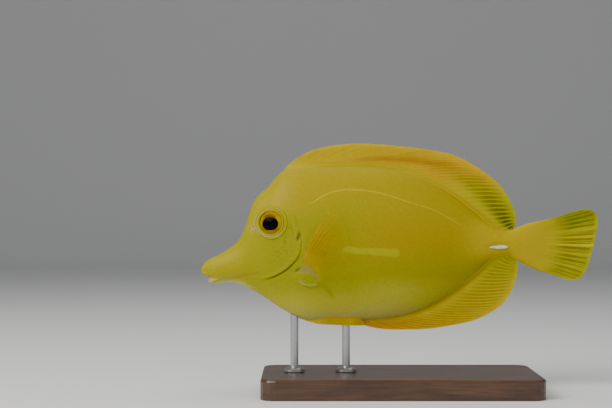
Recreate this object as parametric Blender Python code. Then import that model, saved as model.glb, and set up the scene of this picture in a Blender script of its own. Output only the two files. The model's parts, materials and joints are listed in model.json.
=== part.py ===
"""Yellow tang on a plain display stand, as closed solids in metres with +Z up.

The fish faces -X with its left side towards -Y. Body shapes are worked out in
millimetres along the fish: x runs back from the tip of the snout, z runs up from
the long axis of the body, and y runs across it. to_world brings them to metres.
"""
import math

import bmesh
import bpy
import numpy as np
from mathutils import Matrix, Vector

# Overall size and place, in millimetres
TOTAL_LENGTH = 158.8
AXIS_HEIGHT = 59.2
GAP = 0.3
MM = 0.001

# Side outline of the body without its fins, from the snout to the tail fin
BACK = [(0, -10.6), (0.3, -9.2), (1.2, -7.8), (3, -6.3), (6.5, -4.6), (10.1, -2.5), (13, -0.6),
        (15.4, 2.0), (17.2, 5.8), (18.8, 10.6), (21, 16.6), (23.6, 20.0), (26.6, 22.5),
        (28.4, 24.7), (31.6, 28.3), (35.6, 30.4), (42, 31.3), (58, 31.7), (70, 31.4),
        (78.4, 30.1), (86, 27.9), (93, 24.9), (100, 20.9), (107, 15.9), (113, 10.8),
        (118, 7.1), (122.4, 5.6), (127, 6.9), (131, 8.3)]
BELLY = [(0, -10.6), (0.3, -11.4), (1.6, -12.2), (2.9, -13.0), (3.4, -14.2), (4.4, -15.7),
         (6.5, -15.8), (10, -15.2), (14, -15.6), (18, -17.1), (24.4, -20.6), (30.8, -24.9),
         (35.6, -27.75), (38.4, -29.25), (41.6, -30.4), (46, -30.9), (54, -30.7), (62, -30.4),
         (72, -30.0), (80, -28.7), (88, -26.3), (96, -22.4), (103, -17.8), (109.6, -12.8),
         (115, -7.9), (119.5, -5.3), (123.5, -5.0), (127.5, -6.8), (131, -8.3)]
HALF_WIDTH = [(0, 0), (0.3, 0.95), (1, 1.6), (2.5, 2.15), (5, 2.65), (9, 3.3), (15, 4.5),
              (22, 6.6), (29, 8.4), (38, 10.0), (50, 10.9), (62, 11.0), (76, 10.2), (90, 8.4),
              (102, 6.1), (112, 4.3), (120, 3.2), (126, 2.5), (131, 2.1)]
SECTION_POWER = 0.6
BODY_END = 131.0

# Rear edge of the gill cover, where head and torso part
GILL_EDGE = [(32.4, 28.9), (35.2, 20), (38.2, 10.6), (39.8, 4.8), (40, -1.2), (38.9, -5),
             (37, -7.4), (34.8, -9.5), (31.6, -11.6), (28.2, -13.1), (24.2, -14.3),
             (21.6, -16.2), (20.4, -18.3)]
GILL_LIFT = 0.35
GILL_SINK = 0.25
GILL_BLEND = 3.0
GILL_FOLLOW = 1.6
TORSO_FOLLOW = 3
GAP_FADE = 8
HEAD_REACH = 30.0
TORSO_REACH = 70.0
STALK_START = 104.0

# Cells along and round each length of body
HEAD_CELLS = (32, 22)
SNOUT_CROWDING = 1.3
TORSO_CELLS = (24, 16)
STALK_CELLS = (9, 12)

# Eye, lids and nostrils
EYE_X = 28.05
EYE_Z = 8.65
EYE_RADIUS = 4.9
EYE_DEPTH = 2.7
EYE_SINK = 1.25
LID_RINGS = [(4.95, 0.6, 0.05), (6.6, 0.5, 0.0)]
NOSTRILS = [(19.7, 6.3, 0.5), (21.0, 7.0, 0.38)]

# Mouth and lips
UPPER_LIP = {"front": (0.95, -11.25), "corner": (5.6, -12.75), "side": 2.2, "radius": 0.95}
LOWER_LIP = {"front": (3.9, -14.6), "corner": (7.0, -14.0), "side": 2.0, "radius": 1.1}
MOUTH_LINE = {"front": (2.5, -13.05), "corner": (6.2, -13.35), "side": 2.7, "radius": 0.3}
LIP_END = 0.2
LIP_TAPER = 0.6
LIP_STEPS = 18
LIP_SIDES = 10

# Fins: outer edge, base along the body, sweep from base to edge, and ray counts
DORSAL_EDGE = [(33.6, 30.4), (36.4, 32.8), (41.5, 36.2), (49, 38.7), (60, 40.1), (76, 39.5),
               (92, 37.6), (101, 35.6), (108, 32.3), (114, 28.3), (119.9, 23.2), (124.0, 16.8),
               (125.6, 12.9), (126.1, 9.4), (125.9, 7.8), (125.3, 6.9)]
DORSAL_BASE = (33.0, 124.2)
DORSAL_SWEEP = [(0, 0), (0.1, 0.27), (0.27, 0.55), (0.465, 0.72), (0.68, 0.85), (0.9, 0.968), (1, 1)]
DORSAL_RAYS = 29
ANAL_EDGE = [(62.6, -31.3), (68, -33.2), (79, -34.2), (91.6, -33.8), (102, -32.2), (110, -30.2),
             (115.6, -27.5), (121.0, -23.6), (124.2, -18.6), (125.9, -14.2), (126.7, -10.2),
             (126.6, -8.0), (126.0, -6.9)]
ANAL_BASE = (61.6, 124.8)
ANAL_SWEEP = [(0, 0), (0.066, 0.25), (0.15, 0.45), (0.28, 0.645), (0.515, 0.805), (0.76, 0.93),
              (0.94, 0.982), (1, 1)]
ANAL_RAYS = 23
TAIL_EDGE = [(152.6, 13.9), (156.4, 13.5), (158.4, 11.6), (158.7, 8.6), (158.0, 4.0),
             (157.2, 0.5), (156.3, -2.8), (155.4, -6.2), (154.2, -9.6), (152.6, -12.4),
             (150.2, -14.1), (147.0, -14.2), (144.0, -13.4)]
TAIL_RAYS = 16
TAIL_ROOT = 8.2
TAIL_TURN = 2.4
TAIL_HINGE = 0.35
TAIL_PLEAT = 0.45
TAIL_PLEATS = 5
PECTORAL_ROOT = [(40.8, -7.4), (44.0, -9.6), (46.3, -12.8), (47.0, -16.2)]
PECTORAL_EDGE = [(51.0, 12.8), (54.8, 10.6), (57.4, 5.6), (58.8, -0.6), (59.2, -6.2),
                 (57.6, -12.0), (54.4, -16.0)]
PECTORAL_RAYS = 15
PECTORAL_CLEAR = 1.1
PECTORAL_STAND_OFF = 2.6
PELVIC_KEEL = [(43.8, -31.25), (46.2, -31.75), (51.0, -32.1), (58.0, -32.4), (66.4, -32.4)]
PELVIC_TIP = 0.5
PELVIC_RAYS = 6
PELVIC_SPREAD = (1.2, 2.5, 2.0)
FIN_PAD = {"place": (42.6, -13.9), "reach": (5.2, 2.8), "turn": 20.0, "lift": 0.6}
UPRIGHT_FIN = {"rows": 5, "base": 0.6, "tip": 0.27, "ridge": 0.34, "bow": 0.04}
TAIL_FIN = {"rows": 7, "tip": 0.27, "ridge": 0.36}
BREAST_FIN = {"rows": 5, "base": 0.45, "tip": 0.27, "ridge": 0.26, "bow": 1.6}
BELLY_FIN = {"rows": 5, "base": 0.3, "tip": 0.27, "ridge": 0.18}
RAY_REACH = 0.014
RAY_CREASE = 8

# Folded spine on each side of the tail stalk
SPINE_X = 118.7
SPINE_Z = -1.2
SPINE_SIZE = (3.9, 0.95, 0.75)

# Display stand
BASE_SIZE = (110.0, 64.0, 8.0)
BASE_CORNER = 6.0
BASE_EDGE = 1.0
ROD_RADIUS = 1.6
ROD_PLACES = {"stand_rod_front": 37.4, "stand_rod_rear": 58.0}
COLLAR_RADIUS = 4.2
COLLAR_HEIGHT = 1.6

SKIN_CREASE = 37
LEFT = -1
RIGHT = 1


def clear_scene():
    for thing in list(bpy.data.objects):
        bpy.data.objects.remove(thing, do_unlink=True)


def smooth_line(points, steps=400):
    """Points along a natural cubic through a few points, spaced by chord length."""
    knots = np.array(points, float)
    chord = np.r_[0, np.cumsum(np.hypot(*np.diff(knots, axis=0).T))]
    count = len(knots)
    span = np.diff(chord)
    matrix = np.zeros((count, count))
    right = np.zeros((count, 2))
    matrix[0, 0] = matrix[-1, -1] = 1
    for row in range(1, count - 1):
        matrix[row, row - 1:row + 2] = span[row - 1], 2 * (span[row - 1] + span[row]), span[row]
        step_on = (knots[row + 1] - knots[row]) / span[row]
        step_back = (knots[row] - knots[row - 1]) / span[row - 1]
        right[row] = 6 * (step_on - step_back)
    bend = np.linalg.solve(matrix, right)
    place = np.linspace(0, chord[-1], steps)
    cell = np.clip(np.searchsorted(chord, place) - 1, 0, count - 2)
    width = span[cell][:, None]
    after = (place - chord[cell])[:, None] / width
    before = 1 - after
    line = before * knots[cell] + after * knots[cell + 1]
    curve = (before ** 3 - before) * bend[cell] + (after ** 3 - after) * bend[cell + 1]
    return line + curve * width ** 2 / 6


def point_on(line, share):
    """The point at a share of a line's length."""
    length = np.r_[0, np.cumsum(np.hypot(*np.diff(line, axis=0).T))]
    place = np.asarray(share) * length[-1]
    return np.stack([np.interp(place, length, line[:, 0]), np.interp(place, length, line[:, 1])], -1)


def as_height(line):
    """A line made single-valued, so that it can be read as height over x."""
    rising = np.maximum.accumulate(line[:, 0] + np.arange(len(line)) * 1e-9)
    return rising, line[:, 1]


BACK_LINE = smooth_line(BACK)
BELLY_LINE = smooth_line(BELLY)
BACK_HEIGHT = as_height(BACK_LINE)
BELLY_HEIGHT = as_height(BELLY_LINE)
WIDTH_LINE = as_height(smooth_line(HALF_WIDTH))
GILL_LINE = smooth_line(GILL_EDGE)


def half_width(x, z):
    """Half the body's width where the side view shows the point x, z."""
    top = np.interp(x, *BACK_HEIGHT)
    bottom = np.interp(x, *BELLY_HEIGHT)
    reach = np.maximum((top - bottom) / 2, 1e-6)
    level = np.clip((z - (top + bottom) / 2) / reach, -1, 1)
    return np.interp(x, *WIDTH_LINE) * (1 - level ** 2) ** SECTION_POWER


def fin_pad(x, z):
    """Height of the fleshy root of the breast fin over the plain flank."""
    turn = math.radians(FIN_PAD["turn"])
    step_x, step_z = x - FIN_PAD["place"][0], z - FIN_PAD["place"][1]
    along = (step_x * math.cos(turn) - step_z * math.sin(turn)) / FIN_PAD["reach"][0]
    across = (step_x * math.sin(turn) + step_z * math.cos(turn)) / FIN_PAD["reach"][1]
    return FIN_PAD["lift"] * blend((1.3 - math.hypot(along, across)) / 0.8)


def belly_under(x, y):
    """Height of the underside of the body at x, y."""
    top = np.interp(x, *BACK_HEIGHT)
    bottom = np.interp(x, *BELLY_HEIGHT)
    across = min(abs(y) / np.interp(x, *WIDTH_LINE), 1)
    return (top + bottom) / 2 - (top - bottom) / 2 * math.sqrt(1 - across ** (1 / SECTION_POWER))


def blend(value):
    """A soft step from 0 to 1."""
    value = np.clip(value, 0, 1)
    return value * value * (3 - 2 * value)


def surface_frame(x, z, side, sink=0.0):
    """Axes on the body's side: local X runs back, local Z points out of the skin."""
    step = 0.2
    slope_x = float(half_width(x + step, z) - half_width(x - step, z)) / (2 * step)
    slope_z = float(half_width(x, z + step) - half_width(x, z - step)) / (2 * step)
    out = Vector((-slope_x, side, -slope_z)).normalized()
    along = (Vector((1, 0, 0)) - out * out.x).normalized()
    up = out.cross(along)
    spot = Vector((x, side * float(half_width(x, z)), z)) - out * sink
    return Matrix.Translation(spot) @ Matrix((along, up, out)).transposed().to_4x4()


def to_world():
    place = Matrix.Translation(Vector((-TOTAL_LENGTH / 2, 0, AXIS_HEIGHT)))
    return Matrix.Scale(MM, 4) @ place


def make_material(name, colour, roughness, metallic=0.0):
    material = bpy.data.materials.new(name)
    material.use_nodes = True
    shader = material.node_tree.nodes["Principled BSDF"]
    shader.inputs["Base Color"].default_value = (*colour, 1)
    shader.inputs["Roughness"].default_value = roughness
    shader.inputs["Metallic"].default_value = metallic
    return material


def add_node(name, shape, material, sharp=SKIN_CREASE):
    """Turn a bmesh in millimetres into one named object in metres."""
    bmesh.ops.transform(shape, matrix=to_world(), verts=shape.verts)
    mesh = bpy.data.meshes.new(name)
    shape.to_mesh(mesh)
    shape.free()
    mesh.materials.append(material)
    mesh.shade_smooth()
    mesh.set_sharp_from_angle(angle=math.radians(sharp))
    node = bpy.data.objects.new(name, mesh)
    bpy.context.scene.collection.objects.link(node)
    return node


def combine(node, shapes, operation):
    """Join closed shapes to a node, or cut them from it, and keep its largest surface."""
    group = bpy.data.collections.new(node.name + "_pieces")
    for number, shape in enumerate(shapes):
        piece = add_node(f"{node.name}_piece_{number}", shape, node.data.materials[0])
        bpy.context.scene.collection.objects.unlink(piece)
        group.objects.link(piece)
    bpy.context.scene.collection.children.link(group)
    modifier = node.modifiers.new("combine", "BOOLEAN")
    modifier.operand_type = "COLLECTION"
    modifier.collection = group
    modifier.operation = operation
    modifier.solver = "EXACT"
    evaluated = node.evaluated_get(bpy.context.evaluated_depsgraph_get())
    shape = bmesh.new()
    shape.from_mesh(evaluated.to_mesh())
    node.modifiers.clear()
    keep_largest(shape)
    bmesh.ops.triangulate(shape, faces=shape.faces)
    shape.to_mesh(node.data)
    shape.free()
    node.data.shade_smooth()
    node.data.set_sharp_from_angle(angle=math.radians(SKIN_CREASE))
    for piece in list(group.objects):
        bpy.data.objects.remove(piece, do_unlink=True)
    bpy.data.collections.remove(group)


def keep_largest(shape):
    """Delete every closed surface of a bmesh but the largest."""
    shape.verts.ensure_lookup_table()
    left = set(shape.verts)
    groups = []
    while left:
        group = set()
        queue = [left.pop()]
        while queue:
            corner = queue.pop()
            group.add(corner)
            for edge in corner.link_edges:
                other = edge.other_vert(corner)
                if other in left:
                    left.remove(other)
                    queue.append(other)
        groups.append(group)
    groups.sort(key=len)
    for group in groups[:-1]:
        bmesh.ops.delete(shape, geom=list(group), context="VERTS")


def closed_sheet(near, far):
    """Close two matching grids of points into one solid, both faces split alike."""
    shape = bmesh.new()
    rows, columns = near.shape[:2]
    front = [[shape.verts.new(near[i, j]) for j in range(columns)] for i in range(rows)]
    back = [[shape.verts.new(far[i, j]) for j in range(columns)] for i in range(rows)]
    for i in range(rows - 1):
        for j in range(columns - 1):
            cell = [(i, j), (i + 1, j), (i + 1, j + 1), (i, j + 1)]
            if (i + j) % 2:
                cell = cell[1:] + cell[:1]
            for corners in (cell[:3], [cell[0], *cell[2:]]):
                shape.faces.new([front[a][b] for a, b in corners])
                shape.faces.new([back[a][b] for a, b in reversed(corners)])
    rim = [(i, 0) for i in range(rows)]
    rim += [(rows - 1, j) for j in range(1, columns)]
    rim += [(i, columns - 1) for i in range(rows - 2, -1, -1)]
    rim += [(0, j) for j in range(columns - 2, 0, -1)]
    for (a, b), (c, d) in zip(rim, rim[1:] + rim[:1]):
        shape.faces.new((front[a][b], back[a][b], back[c][d]))
        shape.faces.new((front[a][b], back[c][d], front[c][d]))
    bmesh.ops.remove_doubles(shape, verts=shape.verts, dist=1e-4)
    bmesh.ops.recalc_face_normals(shape, faces=shape.faces)
    return shape


def tube(path, radii, outward, sides, closed=False):
    """A tube along a path, round or with rounded ends, with outward as its up direction."""
    shape = bmesh.new()
    count = len(path)
    rings = []
    for number, (spot, radius, up) in enumerate(zip(path, radii, outward)):
        ahead = path[(number + 1) % count] if closed else path[min(number + 1, count - 1)]
        behind = path[number - 1] if closed else path[max(number - 1, 0)]
        forward = (ahead - behind).normalized()
        across = forward.cross(up).normalized()
        rise = across.cross(forward)
        ring = []
        for k in range(sides):
            turn = 2 * math.pi * k / sides
            way = across * math.cos(turn) + rise * math.sin(turn)
            ring.append(shape.verts.new(spot + way * radius))
        rings.append(ring)
    pairs = list(zip(rings, rings[1:])) + ([(rings[-1], rings[0])] if closed else [])
    for one, two in pairs:
        for k in range(sides):
            shape.faces.new((one[k], one[(k + 1) % sides], two[(k + 1) % sides], two[k]))
    if not closed:
        shape.faces.new(rings[0])
        shape.faces.new(rings[-1])
    bmesh.ops.recalc_face_normals(shape, faces=shape.faces)
    return shape


def body_grid(columns, rows, shape_at, crowding=1.0):
    """Near and far grids of a length of body; crowding over 1 packs columns in front."""
    near = np.zeros((columns + 1, rows + 1, 3))
    for i in range(columns + 1):
        along = (i / columns) ** crowding
        for j in range(rows + 1):
            around = (1 - math.cos(math.pi * j / rows)) / 2
            x, z, lift = shape_at(along, around)
            edge = j in (0, rows)
            near[i, j] = x, 0 if edge else -(float(half_width(x, z)) + lift), z
    return near, near * (1, -1, 1)


def part_of(line, start, stop):
    """The stretch of a body line between two places along the fish."""
    return line[(line[:, 0] >= start) & (line[:, 0] <= stop)]


def gill_bulge(around):
    """How far the gill line bows back from the straight between its ends."""
    straight = GILL_LINE[0] + (GILL_LINE[-1] - GILL_LINE[0]) * around
    return point_on(GILL_LINE, around) - straight


def gill_normal(around):
    """Direction square to the gill line, pointing back into the torso."""
    step = 0.01
    along = point_on(GILL_LINE, min(around + step, 1)) - point_on(GILL_LINE, max(around - step, 0))
    return np.array([-along[1], along[0]]) / np.hypot(*along)


def on_flank(around):
    """1 on the flank, fading to 0 towards the back and the belly."""
    return blend(math.sin(math.pi * around) * 1.6 - 0.5)


def head_point(along, around):
    """Side point of the head, with the raised rear edge of the gill cover."""
    top = point_on(part_of(BACK_LINE, 0, GILL_EDGE[0][0]), along)
    bottom = point_on(part_of(BELLY_LINE, 0, GILL_EDGE[-1][0]), along)
    x, z = top + (bottom - top) * around + gill_bulge(around) * along ** GILL_FOLLOW
    near_edge = blend(1 - (1 - along) * HEAD_REACH / GILL_BLEND)
    return x, z, GILL_LIFT * near_edge * on_flank(around)


def torso_point(along, around):
    """Side point of the torso, sunk a little where the gill cover lies over it."""
    top = point_on(part_of(BACK_LINE, GILL_EDGE[0][0], STALK_START), along)
    bottom = point_on(part_of(BELLY_LINE, GILL_EDGE[-1][0], STALK_START), along)
    spot = top + (bottom - top) * around + gill_bulge(around) * (1 - along) ** TORSO_FOLLOW
    spot = spot + gill_normal(around) * GAP * (1 - along) ** GAP_FADE
    near_edge = blend(1 - along * TORSO_REACH / GILL_BLEND)
    lift = fin_pad(*spot) - GILL_SINK * near_edge * on_flank(around)
    return spot[0], spot[1], lift


def stalk_point(along, around):
    """Side point of the tail stalk, on upright sections."""
    x = STALK_START + GAP + (BODY_END - STALK_START - GAP) * along
    top = float(np.interp(x, *BACK_HEIGHT))
    bottom = float(np.interp(x, *BELLY_HEIGHT))
    return x, top + (bottom - top) * around, 0.0


def lid_ring(radius, thickness, lift, side):
    """A raised ring of skin about the eye that follows the side of the head."""
    path = []
    up = []
    for number in range(20):
        turn = 2 * math.pi * number / 20
        x = EYE_X + radius * math.cos(turn)
        z = EYE_Z + radius * math.sin(turn)
        frame = surface_frame(x, z, side, -lift)
        path.append(frame.translation)
        up.append(frame.to_3x3().col[2])
    return tube(path, [thickness] * 20, up, 5, closed=True)


def eye_ball(side, extra=0.0):
    """The eyeball, flattened outwards and set into the head."""
    shape = bmesh.new()
    bmesh.ops.create_uvsphere(shape, u_segments=16, v_segments=10, radius=1)
    size = Matrix.Diagonal((EYE_RADIUS + extra, EYE_RADIUS + extra, EYE_DEPTH + extra, 1))
    frame = surface_frame(EYE_X, EYE_Z, side, EYE_SINK)
    bmesh.ops.transform(shape, matrix=frame @ size, verts=shape.verts)
    if side == LEFT:
        bmesh.ops.recalc_face_normals(shape, faces=shape.faces)
    return shape


def nostril_cut(x, z, radius, side):
    """A short round pit in front of the eye."""
    shape = bmesh.new()
    bmesh.ops.create_cone(shape, cap_ends=True, segments=8, radius1=radius * 0.5, radius2=radius,
                          depth=1.6)
    bmesh.ops.transform(shape, matrix=surface_frame(x, z, side), verts=shape.verts)
    bmesh.ops.recalc_face_normals(shape, faces=shape.faces)
    return shape


def nostril_rim(x, z, radius, side):
    """The low rim of a nostril."""
    frame = surface_frame(x, z, side)
    path = []
    for number in range(8):
        turn = 2 * math.pi * number / 8
        path.append(frame @ Vector((radius * 1.25 * math.cos(turn), radius * 1.25 * math.sin(turn), 0)))
    return tube(path, [0.28] * 8, [frame.to_3x3().col[2]] * 8, 5, closed=True)


def lip(place):
    """A lip as a bead that runs round the front of the mouth from corner to corner."""
    front_x, front_z = place["front"]
    corner_x, corner_z = place["corner"]
    path = []
    radii = []
    for number in range(LIP_STEPS + 1):
        turn = math.pi * (number / LIP_STEPS - 0.5)
        share = 1 - math.cos(turn)
        path.append(Vector((front_x + (corner_x - front_x) * share, place["side"] * math.sin(turn),
                            front_z + (corner_z - front_z) * share)))
        taper = max(math.cos(turn), 0) ** LIP_TAPER
        radii.append(place["radius"] * (LIP_END + (1 - LIP_END) * taper))
    return tube(path, radii, [Vector((0, 0, 1))] * len(path), LIP_SIDES)


def tail_spine(side, extra=0.0):
    """The folded blade of the tail stalk: pointed in front, blunt at its hinge."""
    shape = bmesh.new()
    bmesh.ops.create_uvsphere(shape, u_segments=12, v_segments=8, radius=1)
    bmesh.ops.rotate(shape, verts=shape.verts, matrix=Matrix.Rotation(math.pi / 2, 3, "Y"))
    for corner in shape.verts:
        taper = 0.72 + 0.28 * corner.co.x
        corner.co.y *= taper
        corner.co.z *= taper
    size = Matrix.Diagonal((SPINE_SIZE[0] + extra, SPINE_SIZE[1] + extra, SPINE_SIZE[2] + extra, 1))
    bmesh.ops.transform(shape, matrix=surface_frame(SPINE_X, SPINE_Z, side) @ size, verts=shape.verts)
    bmesh.ops.recalc_face_normals(shape, faces=shape.faces)
    return shape


def add_fin(name, rays, form, middle_at, material, base_half=None):
    """A fin as one closed sheet; its rays stand up on every second line of points."""
    lines = 2 * rays
    rows = form["rows"]
    near = np.zeros((lines + 1, rows + 1, 3))
    far = np.zeros((lines + 1, rows + 1, 3))
    for i in range(lines + 1):
        crest = i % 2
        base = base_half(i / lines) if base_half else form["base"]
        for j in range(rows + 1):
            along = j / rows
            spot, out = middle_at(i / lines, along * (1 + RAY_REACH * (2 * crest - 1)))
            half = base + (form["tip"] - base) * along ** 0.7
            half += form["ridge"] * crest * (1 - 0.5 * along) * min(1, 4 * along)
            near[i, j] = spot - out * half
            far[i, j] = spot + out * half
    return add_node(name, closed_sheet(near, far), material, RAY_CREASE)


def curved(start, end, lift, share):
    """A point on a ray that bows by lift square to its own direction."""
    way = end - start
    square = np.array([-way[1], way[0]]) / max(np.hypot(*way), 1e-6)
    return start + way * share + square * lift * 4 * share * (1 - share)


def along_body(line, ends, share):
    """A point on the body's outline, and the direction out of the body there."""
    stretch = line[(line[:, 0] >= ends[0]) & (line[:, 0] <= ends[1])]
    spot = point_on(stretch, share)
    way = point_on(stretch, min(share + 0.01, 1)) - point_on(stretch, max(share - 0.01, 0))
    return spot, np.array([-way[1], way[0]]) / np.hypot(*way)


def upright_fin(line, ends, edge, sweep, side_up):
    """Middle surface of the dorsal or anal fin, in the fish's middle plane."""
    edge_line = smooth_line(edge)
    sweep_line = as_height(smooth_line(sweep))

    def middle_at(share, along):
        base, out = along_body(line, ends, share)
        start = base + out * side_up * GAP
        end = point_on(edge_line, float(np.interp(share, *sweep_line)))
        length = np.hypot(*(end - start))
        x, z = curved(start, end, UPRIGHT_FIN["bow"] * side_up * length, along)
        return np.array([x, 0, z]), np.array([0, 1, 0])
    return middle_at


def tail_middle(share, along):
    """Middle surface of the tail fin, softly pleated, its lower lobe turned aside."""
    start = np.array([BODY_END + GAP, TAIL_ROOT * (1 - 2 * share)])
    end = point_on(smooth_line(TAIL_EDGE), share)
    x, z = start + (end - start) * along
    pleat = TAIL_PLEAT * math.sin(share * math.pi * TAIL_PLEATS) * along ** 1.5
    turned = TAIL_TURN * along ** 2 * (share - TAIL_HINGE)
    return np.array([x, pleat - turned, z]), np.array([0, 1, 0])


def tail_base_half(share):
    """Half thickness of the tail fin where it meets the end of the stalk."""
    return max(0.45, 0.97 * float(half_width(BODY_END, TAIL_ROOT * (1 - 2 * share))))


def pectoral_middle(side):
    """Middle surface of a pectoral fin, a fan that stands a little off the flank."""
    root = smooth_line(PECTORAL_ROOT)
    edge = smooth_line(PECTORAL_EDGE)

    def middle_at(share, along):
        bow = BREAST_FIN["bow"] * (1 - share)
        x, z = curved(point_on(root, share), point_on(edge, share), bow, along)
        off = PECTORAL_CLEAR + fin_pad(x, z) + PECTORAL_STAND_OFF * along ** 1.3
        frame = surface_frame(x, z, side)
        out = frame.to_3x3().col[2]
        return np.array(frame.translation + out * off), np.array(out) * side
    return middle_at


def pelvic_middle(side):
    """Middle surface of a pelvic fin, folded back along the belly it hangs from."""
    keel = smooth_line(PELVIC_KEEL)

    def middle_at(share, along):
        x, low = point_on(keel, along)
        front, middle, rear = PELVIC_SPREAD
        y = front + (middle - front) * blend(along / 0.4) + (rear - middle) * blend((along - 0.75) / 0.25)
        high = belly_under(x, y) - GAP - 0.1
        high = high + (low + PELVIC_TIP - high) * blend((along - 0.75) / 0.25)
        return np.array([x, side * y, low + (high - low) * share]), np.array([0, 1, 0])
    return middle_at


def stand_base(material):
    """A flat block with rounded corners and a soft upper edge."""
    shape = bmesh.new()
    bmesh.ops.create_cube(shape, size=1)
    length, depth, height = BASE_SIZE
    bmesh.ops.transform(shape, matrix=Matrix.Diagonal((length, depth, height, 1)), verts=shape.verts)
    upright = [e for e in shape.edges if abs(e.verts[0].co.z - e.verts[1].co.z) > height / 2]
    bmesh.ops.bevel(shape, geom=upright, offset=BASE_CORNER, segments=5, profile=0.5,
                    affect="EDGES", material=-1)
    rim = [e for e in shape.edges if e.verts[0].co.z > 0 and e.verts[1].co.z > 0]
    bmesh.ops.bevel(shape, geom=rim, offset=BASE_EDGE, segments=2, profile=0.5,
                    affect="EDGES", material=-1)
    bmesh.ops.translate(shape, verts=shape.verts, vec=(TOTAL_LENGTH / 2, 0, height / 2 - AXIS_HEIGHT))
    return add_node("stand_base", shape, material, 30)


def stand_rod(name, x, material):
    """A turned rod with a collar, its top shaped to the underside of the body."""
    foot = BASE_SIZE[2] - AXIS_HEIGHT + GAP
    profile = [(COLLAR_RADIUS, foot), (COLLAR_RADIUS, foot + COLLAR_HEIGHT * 0.6),
               (COLLAR_RADIUS * 0.8, foot + COLLAR_HEIGHT), (ROD_RADIUS, foot + COLLAR_HEIGHT * 1.25),
               (ROD_RADIUS, belly_under(x, 0) - 6)]
    shape = bmesh.new()
    sides = 20
    rings = []
    for radius, z in [*profile, (ROD_RADIUS, None), (ROD_RADIUS * 0.5, None)]:
        ring = []
        for k in range(sides):
            turn = 2 * math.pi * k / sides
            spot = Vector((x + radius * math.cos(turn), radius * math.sin(turn), 0))
            spot.z = belly_under(spot.x, spot.y) - GAP - 0.05 if z is None else z
            ring.append(shape.verts.new(spot))
        rings.append(ring)
    for one, two in zip(rings, rings[1:]):
        for k in range(sides):
            shape.faces.new((one[k], one[(k + 1) % sides], two[(k + 1) % sides], two[k]))
    crown = shape.verts.new((x, 0, belly_under(x, 0) - GAP - 0.05))
    for k in range(sides):
        shape.faces.new((rings[-1][k], rings[-1][(k + 1) % sides], crown))
    shape.faces.new(rings[0])
    bmesh.ops.recalc_face_normals(shape, faces=shape.faces)
    return add_node(name, shape, material, 35)


def build():
    clear_scene()
    yellow = make_material("skin_yellow", (0.85, 0.62, 0.01), 0.42)
    fin_yellow = make_material("fin_yellow", (0.78, 0.58, 0.02), 0.4)
    eye_black = make_material("eye", (0.02, 0.012, 0.005), 0.08)
    white = make_material("spine_white", (0.86, 0.84, 0.88), 0.35)
    wood = make_material("stand_wood", (0.16, 0.08, 0.04), 0.45)
    steel = make_material("stand_steel", (0.55, 0.55, 0.56), 0.3, 1.0)

    head = add_node("head", closed_sheet(*body_grid(*HEAD_CELLS, head_point, SNOUT_CROWDING)), yellow)
    rims = [lid_ring(*ring, side) for ring in LID_RINGS for side in (LEFT, RIGHT)]
    rims += [nostril_rim(*nostril, side) for nostril in NOSTRILS for side in (LEFT, RIGHT)]
    combine(head, [*rims, lip(UPPER_LIP), lip(LOWER_LIP)], "UNION")
    cuts = [eye_ball(side, GAP) for side in (LEFT, RIGHT)]
    cuts += [nostril_cut(*nostril, side) for nostril in NOSTRILS for side in (LEFT, RIGHT)]
    combine(head, [*cuts, lip(MOUTH_LINE)], "DIFFERENCE")

    add_node("torso", closed_sheet(*body_grid(*TORSO_CELLS, torso_point)), yellow)
    stalk = add_node("tail_stalk", closed_sheet(*body_grid(*STALK_CELLS, stalk_point)), yellow)
    combine(stalk, [tail_spine(side, GAP) for side in (LEFT, RIGHT)], "DIFFERENCE")

    for side, word in ((LEFT, "left"), (RIGHT, "right")):
        add_node("eye_" + word, eye_ball(side), eye_black)
        add_node("tail_spine_" + word, tail_spine(side), white)
        add_fin("pectoral_fin_" + word, PECTORAL_RAYS, BREAST_FIN, pectoral_middle(side), fin_yellow)
        add_fin("pelvic_fin_" + word, PELVIC_RAYS, BELLY_FIN, pelvic_middle(side), fin_yellow)

    dorsal = upright_fin(BACK_LINE, DORSAL_BASE, DORSAL_EDGE, DORSAL_SWEEP, 1)
    add_fin("dorsal_fin", DORSAL_RAYS, UPRIGHT_FIN, dorsal, fin_yellow)
    anal = upright_fin(BELLY_LINE, ANAL_BASE, ANAL_EDGE, ANAL_SWEEP, -1)
    add_fin("anal_fin", ANAL_RAYS, UPRIGHT_FIN, anal, fin_yellow)
    add_fin("caudal_fin", TAIL_RAYS, TAIL_FIN, tail_middle, fin_yellow, tail_base_half)

    stand_base(wood)
    for name, x in ROD_PLACES.items():
        stand_rod(name, x, steel)


build()
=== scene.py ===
import json
import math
import bmesh
import bpy
import numpy as np
from mathutils import Matrix, Vector

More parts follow.
